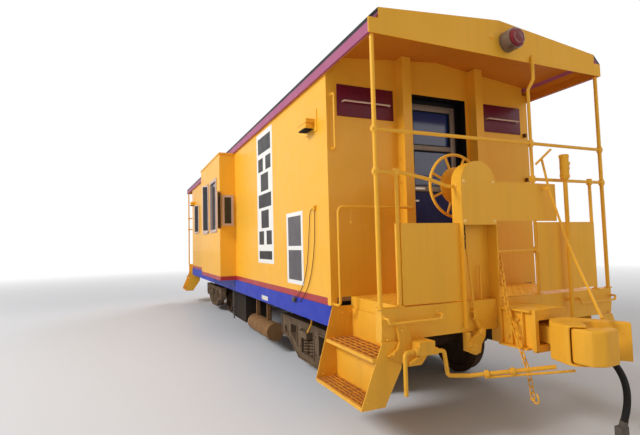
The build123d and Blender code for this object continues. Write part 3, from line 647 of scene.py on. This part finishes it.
def inner_sashes(mesh):
    """The thin dark gasket just inside each of the storm window's openings."""
    x0, x1 = DOOR_FACE - 0.006, DOOR_FACE + 0.006
    for (a, low), (high, b) in zip(STORM_RAILS, STORM_RAILS[1:]):
        for side in (-1, 1):
            y0, y1 = sorted((side * (STORM_INNER - GASKET), side * (STORM_INNER + 0.002)))
            box(mesh, (x0, y0, low - 0.002), (x1, y1, high + 0.002), 0.001)
        for z0, z1 in ((low - 0.002, low + GASKET), (high - GASKET, high + 0.002)):
            box(mesh, (x0, -STORM_INNER + GASKET, z0), (x1, STORM_INNER - GASKET, z1), 0.001)


def latch(mesh):
    """The pale bar on the bottom rail, and the lever below it on its round plate."""
    x, y, z = DOOR_FACE, LEVER_Y, LEVER_Z
    box(mesh, (x + 0.013, *LATCH_LOW), (x + 0.026, *LATCH_HIGH), 0.004)
    spun(mesh, DOMED, (x, y, z), (1, 0, 0), 0.030, 0.012, 28)
    spun(mesh, HEXAGON, (x + 0.008, y, z), (1, 0, 0), 0.009, 0.036, 16)
    box(mesh, (x + 0.032, y - 0.012, z - 0.011), (x + 0.045, y + LEVER_LENGTH, z + 0.011), 0.005)


for end in ENDS:
    piece("storm_window", end, storm_window, "aluminium", "door")
    piece("storm_gasket", end, inner_sashes, "rubber", "door")
    piece("door_latch", end, latch, "steel", "door")


# Lamps

LENS_X, LENS_Y, LENS_Z = END + 1.0715, 0.090, EAVE_TOP + 0.024
LENS_R, LENS_RINGS = 0.090, 9
LENS_RIM, LENS_CROWN = 0.010, 0.030
DRUM, DRUM_R, DRUM_HEIGHT = (END + 0.725, -0.230, 3.691), 0.100, 0.060
KNOB, KNOB_SIZE = (ROOF_REACH, -0.105, EAVE_TOP + 0.043), (0.014, 0.024)


def lens(mesh):
    """A domed lens with rings moulded in it."""
    profile = [(0, -0.001), (LENS_R, -0.001), (LENS_R, LENS_RIM)]
    for i in range(1, LENS_RINGS):
        share = 1 - i / LENS_RINGS
        crown = LENS_RIM + LENS_CROWN * math.sqrt(1 - share * share)
        profile += [(LENS_R * (share + 0.02), crown - 0.002), (LENS_R * share, crown)]
    profile.append((0, LENS_RIM + LENS_CROWN + 0.001))
    spun(mesh, profile, (LENS_X, LENS_Y, LENS_Z), (1, 0, 0), sides=40)


def drum(mesh):
    """The drum lamp's can, up against the underside of the roof."""
    x, y, z = DRUM
    profile = [(0, 0), (DRUM_R, 0), (DRUM_R, DRUM_HEIGHT - 0.006), (DRUM_R - 0.006, DRUM_HEIGHT),
               (0, DRUM_HEIGHT)]
    spun(mesh, profile, (x, y, z + DRUM_HEIGHT), (0, 0, -1), sides=40)


def knob(mesh):
    spun(mesh, DOMED, KNOB, (1, 0, 0), *KNOB_SIZE)


def drum_lens(mesh):
    profile = [(0, -0.002), (0.084, -0.002), (0.084, 0.008), (0.070, 0.018), (0.040, 0.026), (0, 0.028)]
    spun(mesh, profile, DRUM, (0, 0, -1), sides=36)


for end in ENDS:
    piece("red_lens", end, lens, "red_lens")
    piece("soffit_lamp", end, drum, "under")
    piece("gable_knob", end, knob, "yellow")
    piece("soffit_lens", end, drum_lens, "lamp_glass")


# Conduits on the side wall and pipes under the floor

WALL_Y = -HALF
CABLE_TOP_X, CABLE_OFF, CABLE_R = END - 0.340, 0.013, 0.004
# Each cable's route down the wall, as (x from the end wall, z)
CABLES = {
    "upper": [(-0.340, 2.105), (-0.420, 2.095), (-0.470, 2.060), (-0.490, 1.960), (-0.530, 1.70),
              (-0.600, 1.42), (-0.760, 1.20), (-0.930, 1.100), (-0.975, 1.068)],
    "lower": [(-0.335, 2.085), (-0.345, 2.000), (-0.350, 1.80), (-0.400, 1.55), (-0.500, 1.32),
              (-0.640, 1.17), (-0.780, 1.085), (-0.820, 1.040)],
}
SERVICE_BOX = ((END - 1.035, WALL_Y - 0.045, 1.030), (END - 0.955, WALL_Y - 0.007, 1.085))
MARKER_X = (END - 0.410, -END + 0.410)
# MARKER_SLOT gives the heights of the dark slabs that paint shade under the boxes
MARKER_BOX, MARKER_SLOT = (2.960, 3.0195), (2.946, 2.961)
PIPE_X, PIPE_Y, PIPE_R = 0.125, -1.300, 0.013
PIPE_HEIGHTS, NUT_HEIGHTS, COCK_Z = (0.90, 0.60, 0.28), (0.74, 0.52, 0.36), 0.53
HANDLE = [(3.930, -1.200, 0.890), (3.930, -1.200, 0.780), (3.925, -1.200, 0.745), (3.890, -1.200, 0.700),
          (3.785, -1.200, 0.610)]


def cable_bracket(mesh):
    """The small casting that the cables start from."""
    x = CABLE_TOP_X
    box(mesh, (x - 0.018, WALL_Y - 0.030, 2.075), (x + 0.018, WALL_Y - 0.001, 2.118), 0.004)
    box(mesh, (x - 0.030, WALL_Y - 0.008, 2.112), (x + 0.030, WALL_Y - 0.001, 2.128), 0.002)


def service_box(mesh):
    box(mesh, *SERVICE_BOX, 0.004)


def marker_boxes(mesh):
    """The boxes under the marker brackets' shelves."""
    low, high = MARKER_BOX
    for x in MARKER_X:
        box(mesh, (x - 0.100, WALL_Y - 0.106, low), (x + 0.100, WALL_Y - 0.004, high), 0.004)


def marker_slots(mesh):
    """Dark slabs on the undersides of those boxes: painted shade for their openings."""
    low, high = MARKER_SLOT
    for x in MARKER_X:
        box(mesh, (x - 0.090, WALL_Y - 0.116, low), (x + 0.090, WALL_Y - 0.020, high), 0.003)


def pipe_fittings(mesh):
    """The cock half way down the grey pipe, with its hexagon nuts."""
    for z in NUT_HEIGHTS:
        spun(mesh, HEXAGON, (PIPE_X, PIPE_Y, z), (0, 0, 1), 0.022, 0.026, 6)
    spun(mesh, HEXAGON, (PIPE_X, PIPE_Y, COCK_Z), (0, -1, 0), 0.014, 0.030, 12)


for end in ENDS:
    for name, points in CABLES.items():
        route = [(END + dx, WALL_Y - CABLE_OFF, z) for dx, z in points]
        wires("wall_cable_" + name, end, [route], CABLE_R, "cable")
    piece("cable_bracket", end, cable_bracket, "casting")
    piece("service_box", end, service_box, "iron")
    piece("marker_boxes", end, marker_boxes, "yellow")
    piece("marker_slots", end, marker_slots, "under")
    wires("drop_pipe", end, [[(PIPE_X, PIPE_Y, z) for z in PIPE_HEIGHTS]], PIPE_R, "iron")
    piece("pipe_fittings", end, pipe_fittings, "iron")
    wires("valve_handle", end, [HANDLE], 0.011, "casting")


# Chains: the one inside the brake stand and the end of the gate chain

STAND_LINK = (0.026, 0.015)
STAND_CHAIN_TOP, STAND_CHAIN_LINKS = 1.830, 5
GATE_LINK = (0.031, 0.018)
GATE_CHAIN_END, GATE_CHAIN_LINKS = (6.302, -0.256, 0.580), 4
GATE_HOOK = [(6.322, -0.256, 0.425), (6.326, -0.256, 0.400), (6.340, -0.256, 0.384),
             (6.366, -0.256, 0.384), (6.382, -0.256, 0.404), (6.378, -0.256, 0.440),
             (6.362, -0.256, 0.462)]
CHAIN_WIRE, HOOK_WIRE = 0.0045, 0.007
LINK_CORNERS = [(0, 1), (1, 1), (1, 0.4), (1, -0.4), (1, -1), (0, -1), (-1, -1), (-1, -0.4), (-1, 0.4),
                (-1, 1)]


def hanging_links(top, count, size, lean=0.0):
    """Links hanging below a point, every other one turned, leaning out along X as they go down."""
    length, width = size
    links = []
    for i in range(count):
        drop = i * 1.62 * length
        x, y, z = top[0] + lean * drop, top[1] + 0.003 * math.sin(i * 0.9), top[2] - drop
        across = (1, 0) if i % 2 else (0, 1)
        links.append([(x + across[0] * a * width, y + across[1] * a * width, z + b * length)
                      for a, b in LINK_CORNERS])
    return links


for end in ENDS:
    links = hanging_links((END + 0.945, -0.540, STAND_CHAIN_TOP), STAND_CHAIN_LINKS, STAND_LINK)
    wires("stand_chain", end, links, CHAIN_WIRE, "under", closed=True)
    links = hanging_links(GATE_CHAIN_END, GATE_CHAIN_LINKS, GATE_LINK, 0.12)
    wires("chain_tail", end, links, CHAIN_WIRE, "casting", closed=True)
    wires("chain_hook", end, [GATE_HOOK], HOOK_WIRE, "casting")


# Brake wheel dish

WHEEL_PLACE = (END + 0.680, -0.375, 2.235)
DISH = [(0, 0.003), (0.178, 0.003), (0.180, 0.006), (0.178, 0.009), (0.136, 0.013), (0, 0.014)]


def wheel_dish(mesh):
    """The dish over the spokes' roots on both faces, with the shaft's nut at the back."""
    x, y, z = WHEEL_PLACE
    spun(mesh, DISH, WHEEL_PLACE, (1, 0, 0), sides=56)
    spun(mesh, DISH, WHEEL_PLACE, (-1, 0, 0), sides=56)
    bolts(mesh, [(x - 0.012, y, z)], (-1, 0, 0), 0.026, 0.022, HEXAGON)


for end in ENDS:
    piece("wheel_dish", end, wheel_dish, "platform", "brake_wheel")


# Anti-slip pattern on the platform's deck

TREAD_PITCH = 0.044
TREAD_SIZE = (0.030, 0.010, 0.0022)
DECK = (END + 0.060, END + 0.900, 1.150)


def covered(x, y):
    """Where the brake stand and the lift rods stand on the deck."""
    return x > END + 0.82 and -0.60 < y < -0.15


def deck_pattern(mesh):
    """Small raised lozenges in rows, every other one turned across."""
    length, width, height = TREAD_SIZE
    x0, x1, half = DECK
    rows, columns = int((x1 - x0) / TREAD_PITCH), int(2 * half / TREAD_PITCH)
    for i in range(rows):
        for j in range(columns):
            x, y = x0 + (i + 0.5) * TREAD_PITCH, -half + (j + 0.5) * TREAD_PITCH
            if covered(x, y):
                continue
            a, b = (length, width) if (i + j) % 2 else (width, length)
            corners = [(a / 2, 0), (0, b / 2), (-a / 2, 0), (0, -b / 2)]
            low = [mesh.verts.new((x + u, y + v, FLOOR_TOP - 0.001)) for u, v in corners]
            high = [mesh.verts.new((x + 0.6 * u, y + 0.6 * v, FLOOR_TOP + height)) for u, v in corners]
            mesh.faces.new(high)
            mesh.faces.new(low[::-1])
            for k in range(4):
                mesh.faces.new((low[k], low[(k + 1) % 4], high[(k + 1) % 4], high[k]))


for end in ENDS:
    piece("deck_pattern", end, deck_pattern, "deck")


# Running gear bolts

TRUCK_X, FRAME_FACE = 3.427, 1.055
CAP_RING, COLUMN_OFF = 0.042, 0.272


def cap_bolts(number):
    """Three bolts on each of a wheelset's end caps."""
    axle = NODES["axle_" + number]
    corners = [axle.matrix_world @ Vector(corner) for corner in axle.bound_box]
    x = sum(corner.x for corner in corners) / 8
    z = sum(corner.z for corner in corners) / 8
    reach = max(corner.y for corner in corners)

    def build(mesh):
        for side in (-1, 1):
            spots = [(x + CAP_RING * math.cos(angle), side * reach, z + CAP_RING * math.sin(angle))
                     for angle in (math.pi / 2, math.pi * 7 / 6, math.pi * 11 / 6)]
            bolts(mesh, spots, (0, side, 0), *CAP_BOLT, HEXAGON)
            spun(mesh, DOMED, (x, side * reach, z), (0, side, 0), 0.016, 0.006, 20)

    piece("cap_bolts", number, build, "wheel", "wheelset")


def frame_bolts(mesh):
    """Bolt heads on the columns either side of the springs."""
    spots = [(TRUCK_X + side * COLUMN_OFF, -FRAME_FACE, z) for side in (-1, 1) for z in (0.30, 0.52)]
    bolts(mesh, spots, (0, -1, 0), *FRAME_BOLT, HEXAGON)


for number in "1234":
    cap_bolts(number)
for end in ENDS:
    piece("frame_bolts", end, mirrored(frame_bolts), "truck", "truck")


# Lockers high on the end wall, and the feet and collars of the rails

LOCKERS = [(-1.293, -0.610, 3.027, 3.360), (0.655, 1.275, 3.020, 3.355)]
LOCKER_THICK = 0.012
HANDLE_IN, HANDLE_OFF, HANDLE_BEND, HANDLE_R = 0.060, 0.040, 0.030, 0.009
COLLAR = [(0, -0.5), (0.88, -0.5), (1, -0.36), (1, 0.36), (0.88, 0.5), (0, 0.5)]
POST_X, POSTS = END + 0.916, (-1.404, -1.208, 0.380, 1.208, 1.404)
UPPER_RAIL, MID_RAIL, LOW_ROD = 2.650, 2.294, 1.600
PENDANT = (END + 0.144, -1.240)
# Joints of the rails: y, z
COLLARS = [(-1.404, UPPER_RAIL), (1.404, UPPER_RAIL), (-1.404, MID_RAIL), (1.404, MID_RAIL),
           (-1.208, MID_RAIL), (1.208, MID_RAIL), (0.380, UPPER_RAIL), (0.380, MID_RAIL),
           (0.380, LOW_ROD)]
# Round feet: x, y, z and which way they face
FEET = [(SILL_FACE, y, 1.100, (1, 0, 0)) for y in (-1.385, -0.850, 0.850, 1.385)]
FEET += [(END, -1.380, 1.105, (1, 0, 0)), (END, -1.352, 3.240, (1, 0, 0)),
         (END, -1.352, 2.674, (1, 0, 0)), (END + 0.130, -0.505, 2.070, (1, 0, 0)),
         (POST_X - 0.020, -0.575, 2.195, (0, -1, 0))]


def lockers(mesh):
    """The two locker doors, flat on the end wall."""
    for y0, y1, z0, z1 in LOCKERS:
        box(mesh, (END - 0.001, y0, z0), (END + LOCKER_THICK, y1, z1), 0.003)


def rail_fittings(mesh):
    """Collars where the rails meet the posts, flanges under the posts and feet on the grab irons."""
    for y, z in COLLARS:
        spun(mesh, COLLAR, (POST_X, y, z), (0, 0, 1), 0.027, 0.064)
        spun(mesh, COLLAR, (POST_X, y, z), (0, 1, 0), 0.023, 0.058)
    for y in POSTS:
        spun(mesh, HEXAGON, (POST_X, y, FLOOR_TOP), (0, 0, 1), 0.036, 0.012, 24)
    for x, y, z, axis in FEET:
        spun(mesh, DOMED, (x, y, z), axis, 0.027, 0.009, 24)
    spun(mesh, DOMED, (*PENDANT, 1.905), (0, 0, 1), 0.018, 0.026)


def locker_handles():
    """A bar along each locker's door, bent back to the wall at both ends."""
    routes = []
    for y0, y1, z0, z1 in LOCKERS:
        z, reach = (z0 + z1) / 2 - 0.015, END + LOCKER_THICK + HANDLE_OFF
        y0, y1 = y0 + HANDLE_IN, y1 - HANDLE_IN
        routes.append([(END, y0, z), (reach, y0, z), (reach, y0 + HANDLE_BEND, z),
                       (reach, y1 - HANDLE_BEND, z), (reach, y1, z), (END, y1, z)])
    return routes


for end in ENDS:
    piece("lockers", end, lockers, "maroon")
    wires("locker_handles", end, locker_handles(), HANDLE_R, "handle")
    piece("rail_fittings", end, rail_fittings, "platform")
    wires("rail_pendant", end, [[(*PENDANT, z) for z in (2.060, 1.990, 1.915)]], 0.006, "platform")


# Open treads of the steps: inner and outer y, and the height of the top

TREADS = [(-1.606, -1.396, 0.430), (-1.496, -1.212, 0.790)]
TREAD_X = (END + 0.050, END + 0.926)
TREAD_BAR = 0.017
BARS_ALONG, BARS_ACROSS = 6, 9
ALONG_HIGH, ACROSS_HIGH, GAP_HIGH = 0.006, 0.005, 0.0015


def tread_bars(mesh):
    """The bars of the open treads, along the step and across it."""
    x0, x1 = TREAD_X
    for y0, y1, top in TREADS:
        for i in range(BARS_ALONG):
            y = y0 + (y1 - y0 - TREAD_BAR) * i / (BARS_ALONG - 1)
            box(mesh, (x0, y, top), (x1, y + TREAD_BAR, top + ALONG_HIGH), 0.001)
        for i in range(BARS_ACROSS):
            x = x0 + (x1 - x0 - TREAD_BAR) * i / (BARS_ACROSS - 1)
            box(mesh, (x, y0, top), (x + TREAD_BAR, y1, top + ACROSS_HIGH), 0.001)


def tread_gaps(mesh):
    """A dark sheet between the bars: painted shade where the open grating shows the dark below it."""
    for y0, y1, top in TREADS:
        box(mesh, (TREAD_X[0], y0, top - 0.001), (TREAD_X[1], y1, top + GAP_HIGH), 0.0005)


for end in ENDS:
    piece("tread_bars", end, mirrored(tread_bars), "deck")
    piece("tread_gaps", end, mirrored(tread_gaps), "gap")


# Brake rod and crank below the stand

PIN_Y = -0.478
ROD_TOP, ROD_LOW, ROD_R = (END + 0.955, -0.522, 1.640), (END + 0.966, PIN_Y, 1.090), 0.009
# The crank's pins and sheave: y, z and radius
CRANK_BOSSES = [(-0.500, 0.772, 0.048), (-0.415, 0.905, 0.030), (-0.548, 0.806, 0.022)]
STAND_ROD = [(END + 0.900, -0.330, z) for z in (1.480, 1.330, 1.172)]
CRANK = [(-0.575, 0.800), (-0.560, 0.740), (-0.500, 0.712), (-0.440, 0.730), (-0.425, 0.800),
         (-0.380, 0.860), (-0.370, 0.930), (-0.420, 0.950), (-0.470, 0.890), (-0.530, 0.850)]


def crank(mesh):
    """The clevis on the rod, the crank below it with its pin and sheave, and their bracket."""
    x = SILL_FACE
    for near in (0.010, 0.036):
        box(mesh, (x + near, PIN_Y - 0.020, 1.010), (x + near + 0.008, PIN_Y + 0.020, 1.095), 0.002)
    spun(mesh, HEXAGON, (x + 0.044, PIN_Y, 1.032), (1, 0, 0), 0.016, 0.012, 16)
    spun(mesh, HEXAGON, (x + 0.006, PIN_Y, 1.088), (1, 0, 0), 0.020, 0.044, 16)
    beam(mesh, (x + 0.027, PIN_Y, 1.040), (x + 0.027, -0.412, 0.915), (1, 0, 0), 0.016, 0.030)
    plate(mesh, CRANK, x + 0.022, x + 0.046)
    for y, z, radius in CRANK_BOSSES:
        spun(mesh, DOMED, (x + 0.046, y, z), (1, 0, 0), radius, 0.018, 28)
    for y in (-0.560, -0.470):
        box(mesh, (x - 0.040, y, 0.740), (x + 0.022, y + 0.040, 0.906), 0.003)


for end in ENDS:
    piece("brake_crank", end, crank, "casting")
    middle = tuple((a + b) / 2 for a, b in zip(ROD_TOP, ROD_LOW))
    wires("brake_rods", end, [[ROD_TOP, middle, ROD_LOW], STAND_ROD], ROD_R, "platform")


# Draft box ribs and flanges, and the uncoupling lever's casting

BOX_LOW, BOX_TOP, BOX_OUT = 0.780, 1.105, END + 1.350
LOW_FLANGE, TOP_FLANGE, RIB = 0.058, 0.034, 0.030
RIB_PITCH, RIB_THICK, MOUTH_RIM = 0.118, 0.013, 0.016
LEVER_CASTING = [(-1.372, 0.800), (-1.290, 0.845), (-1.262, 0.905), (-1.290, 1.048), (-1.180, 1.048),
                 (-1.150, 0.905), (-1.000, 0.890), (-0.976, 0.850), (-0.976, 0.790), (-1.060, 0.700),
                 (-1.190, 0.700), (-1.250, 0.740)]
LEVER_BOSSES = [(-1.235, 0.990, 0.020), (-1.320, 0.815, 0.018), (-1.080, 0.745, 0.020)]
LEVER_LOW, LEVER_END = Vector((END + 1.120, -0.700, 0.600)), Vector((END + 1.500, -0.160, 0.690))
LEVER_ALONG = (LEVER_END - LEVER_LOW).normalized()


def draft_ribs(mesh):
    """The flanges along the box's lower and upper edges, its upright ribs and the rim of its mouth."""
    start, face = END + 0.985, -BOX_SIDE + 0.002
    box(mesh, (start, -BOX_SIDE - LOW_FLANGE, BOX_LOW - 0.001), (BOX_OUT - 0.060, face, BOX_LOW + 0.014))
    box(mesh, (start, -BOX_SIDE - TOP_FLANGE, BOX_TOP - 0.014), (BOX_OUT - 0.040, face, BOX_TOP + 0.001))
    for i in range(3):
        x = start + i * RIB_PITCH
        box(mesh, (x, -BOX_SIDE - RIB, BOX_LOW), (x + RIB_THICK, face, BOX_TOP))
    mouth = (BOX_OUT - 0.034, -BOX_SIDE - MOUTH_RIM, BOX_LOW - 0.012)
    box(mesh, mouth, (BOX_OUT + 0.001, face, BOX_TOP))


def draft_collar(mesh):
    """The collar above and below the box's mouth."""
    half = BOX_SIDE + MOUTH_RIM
    for z in (BOX_LOW - 0.013, BOX_TOP - 0.001):
        box(mesh, (BOX_OUT - 0.034, -half, z), (BOX_OUT + 0.001, half, z + 0.014))


def lever_casting(mesh):
    """The lever's bracket on the end sill with its bosses and link, and the collars along the lever."""
    x = SILL_FACE
    plate(mesh, LEVER_CASTING, x - 0.001, x + 0.032)
    for y, z, radius in LEVER_BOSSES:
        spun(mesh, DOMED, (x + 0.032, y, z), (1, 0, 0), radius, 0.014)
    beam(mesh, (x + 0.045, -1.190, 0.722), (x + 0.045, -1.030, 0.800), (1, 0, 0), 0.040, 0.026, 0.004)
    spun(mesh, COLLAR, (END + 1.060, -1.165, 0.8355), (0, 1, -0.09), 0.034, 0.050, 28)
    spun(mesh, COLLAR, (END + 1.060, -0.985, 0.8225), (0, 1, -0.09), 0.030, 0.040, 28)
    for distance in (0.14, 0.34):
        spun(mesh, COLLAR, LEVER_LOW + LEVER_ALONG * distance, LEVER_ALONG, 0.030, 0.036, 24)


def lever_rod():
    """The second rod, below the lever and a little longer."""
    low = LEVER_LOW + LEVER_ALONG * 0.12 + Vector((0, 0, -0.028))
    high = LEVER_END + Vector((0.09, 0.10, -0.022))
    return [tuple(low), tuple((low + high) / 2), tuple(high)]


for end in ENDS:
    piece("draft_ribs", end, mirrored(draft_ribs), "casting")
    piece("draft_collar", end, draft_collar, "casting")
    piece("lever_casting", end, lever_casting, "casting")
    wires("lever_rod", end, [lever_rod()], 0.010, "casting")


# Rounded castings that stand in for the sharp-edged couplers and knuckles

CAST_GRAIN, CAST_SHRINK = 0.008, 0.0015


def cast(name, rounds):
    """The same form as a node, with every edge worn round as sand-cast steel has them."""
    data = NODES[name].data.copy()
    data.transform(NODES[name].matrix_world)
    data.materials.clear()
    made = placed(name + "_cast", data, "casting", name)
    remesh = made.modifiers.new("even", "REMESH")
    remesh.mode = "VOXEL"
    remesh.voxel_size = CAST_GRAIN
    remesh.use_smooth_shade = True
    smooth = made.modifiers.new("worn", "SMOOTH")
    smooth.factor = 0.5
    smooth.iterations = rounds
    shrunk = made.modifiers.new("shrunk", "DISPLACE")
    shrunk.mid_level = 0
    shrunk.strength = -CAST_SHRINK
    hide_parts(name)


for end in ENDS:
    cast("coupler_" + end, 12)
    cast("knuckle_" + end, 40)


# Side frames: ribs round the openings and the outline, and coil springs

def both_halves(points):
    """An outline of (x, z) points given for its right half."""
    return points + [(-x, z) for x, z in reversed(points)]


FRAME_OUTLINE = both_halves([(1.030, 0.649), (1.036, 0.405), (0.942, 0.351), (0.725, 0.351),
                             (0.327, 0.141)])
SIDE_WINDOW = [(0.389, 0.571), (0.631, 0.571), (0.631, 0.424), (0.389, 0.281)]
FRAME_WINDOWS = [both_halves([(0.221, 0.219), (0.221, 0.571)]), SIDE_WINDOW,
                 [(-x, z) for x, z in SIDE_WINDOW]]
AXLE_OFF, AXLE_Z = 0.838, 0.4444
BEARING = [(0.066, -0.002), (0.069, 0.012), (0.094, 0.012), (0.102, 0.004), (0.102, -0.002)]
COIL_RADIUS, COIL_WIRE, COIL_TURNS = 0.056, 0.014, 5.5
COIL_LOW, COIL_HEIGHT = 0.244, 0.212
SPRING_X, SPRING_Y = 0.105, 1.0


def frame_ribs(mesh):
    """Ribs round the frame's outline and its windows, and the rings round the bearings."""
    y = -FRAME_FACE - 0.004
    for loop in [FRAME_OUTLINE] + FRAME_WINDOWS:
        for (x0, z0), (x1, z1) in zip(loop, loop[1:] + loop[:1]):
            beam(mesh, (TRUCK_X + x0, y, z0), (TRUCK_X + x1, y, z1), (0, 1, 0), 0.018, 0.022, 0.003)
    for side in (-1, 1):
        spun(mesh, BEARING, (TRUCK_X + side * AXLE_OFF, -FRAME_FACE, AXLE_Z), (0, -1, 0), sides=40)


def coil(x, y):
    """One spring's wire, wound up from its seat."""
    steps = int(COIL_TURNS * 12)
    route = []
    for i in range(steps + 1):
        angle = i * math.tau / 12
        z = COIL_LOW + COIL_HEIGHT * i / steps
        route.append((x + COIL_RADIUS * math.cos(angle), y + COIL_RADIUS * math.sin(angle), z))
    return route


for end in ENDS:
    piece("frame_ribs", end, mirrored(frame_ribs), "truck", "truck")
    coils = [coil(TRUCK_X + x, y) for x in (-SPRING_X, SPRING_X) for y in (-SPRING_Y, SPRING_Y)]
    springs = wires("spring_coils", end, coils, COIL_WIRE, "truck", "truck")
    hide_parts("truck_springs_" + end)


# Backup valve fittings

VALVE_X, VALVE_Y = END + 1.000, 0.730
VALVE_NUTS = [(2.285, 0.034), (2.318, 0.050), (2.400, 0.047), (2.512, 0.050)]


def valve_fittings(mesh):
    """Nuts and the short lever on the valve at the top of its pipe."""
    for z, radius in VALVE_NUTS:
        spun(mesh, HEXAGON, (VALVE_X, VALVE_Y, z), (0, 0, 1), radius, 0.026, 6)
    spun(mesh, HEXAGON, (VALVE_X, VALVE_Y + 0.035, 2.455), (0, 1, 0), 0.022, 0.030, 12)
    top, low = (VALVE_X, VALVE_Y + 0.058, 2.462), (VALVE_X, VALVE_Y + 0.066, 2.395)
    beam(mesh, top, low, (1, 0, 0), 0.018, 0.008)


for end in ENDS:
    piece("valve_fittings", end, valve_fittings, "casting")


# Stage and light

FLOOR_COLOUR = (0.76, 0.80, 0.86, 1)
FLOOR_FADE = (9.0, 26.0)
SKY_COLOUR, SKY_STRENGTH = (1.0, 0.92, 0.84, 1), 0.38


def floor():
    """A pale floor that keeps the shadow and fades to the white background further out."""
    bpy.ops.mesh.primitive_plane_add(size=400, location=(0, 0, -0.002))
    made = bpy.context.object
    made.name = "floor"
    look = bpy.data.materials.new("floor_pale")
    look.use_nodes = True
    tree = look.node_tree
    shader = tree.nodes["Principled BSDF"]
    fill(tree, shader, {"Base Color": FLOOR_COLOUR, "Roughness": 0.8, "Specular IOR Level": 0.1})
    where = node(tree, "ShaderNodeTexCoord").outputs["Object"]
    away = node(tree, "ShaderNodeVectorMath", {0: where}, operation="LENGTH").outputs["Value"]
    seen = node(tree, "ShaderNodeLightPath").outputs["Is Camera Ray"]
    far = calc(tree, "MULTIPLY", ranged(tree, away, *FLOOR_FADE), seen)
    white = node(tree, "ShaderNodeEmission", {"Color": (1, 1, 1, 1), "Strength": 1.0})
    both = node(tree, "ShaderNodeMixShader", {0: far, 1: shader.outputs[0], 2: white.outputs[0]})
    tree.links.new(both.outputs[0], tree.nodes["Material Output"].inputs[0])
    made.data.materials.append(look)


def area_light(name, place, aim, size, power, colour=(1, 1, 1)):
    """A round soft light at a place, turned to its aim."""
    data = bpy.data.lights.new(name, "AREA")
    data.shape = "DISK"
    data.size = size
    data.energy = power
    data.color = colour
    made = bpy.data.objects.new(name, data)
    made.location = place
    made.rotation_euler = (Vector(aim) - Vector(place)).to_track_quat("-Z", "Y").to_euler()
    bpy.context.scene.collection.objects.link(made)


def world():
    """White behind the car for the camera, and a softer grey-white all round for the light."""
    made = bpy.data.worlds.new("studio")
    bpy.context.scene.world = made
    made.use_nodes = True
    tree = made.node_tree
    tree.nodes.clear()
    path = node(tree, "ShaderNodeLightPath").outputs
    seen = calc(tree, "MAXIMUM", path["Is Glossy Ray"], path["Is Transmission Ray"])
    seen = calc(tree, "MAXIMUM", path["Is Camera Ray"], seen)
    soft = node(tree, "ShaderNodeBackground", {"Color": SKY_COLOUR, "Strength": SKY_STRENGTH})
    white = node(tree, "ShaderNodeBackground", {"Color": (1, 1, 1, 1), "Strength": 1.0})
    both = node(tree, "ShaderNodeMixShader", {0: seen, 1: soft.outputs[0], 2: white.outputs[0]})
    node(tree, "ShaderNodeOutputWorld", {0: both.outputs[0]})


floor()
world()
area_light("key", (4.5, -17.5, 12.5), (1, 0, 1.6), 6, 2700, (1.0, 0.98, 0.96))
area_light("fill", (18, 7, 7), (3, 0, 1.5), 9, 300, (1.0, 0.86, 0.72))
area_light("back", (-14, 12, 12), (0, 0, 2), 9, 1300)
bpy.context.scene.view_settings.view_transform = "Standard"
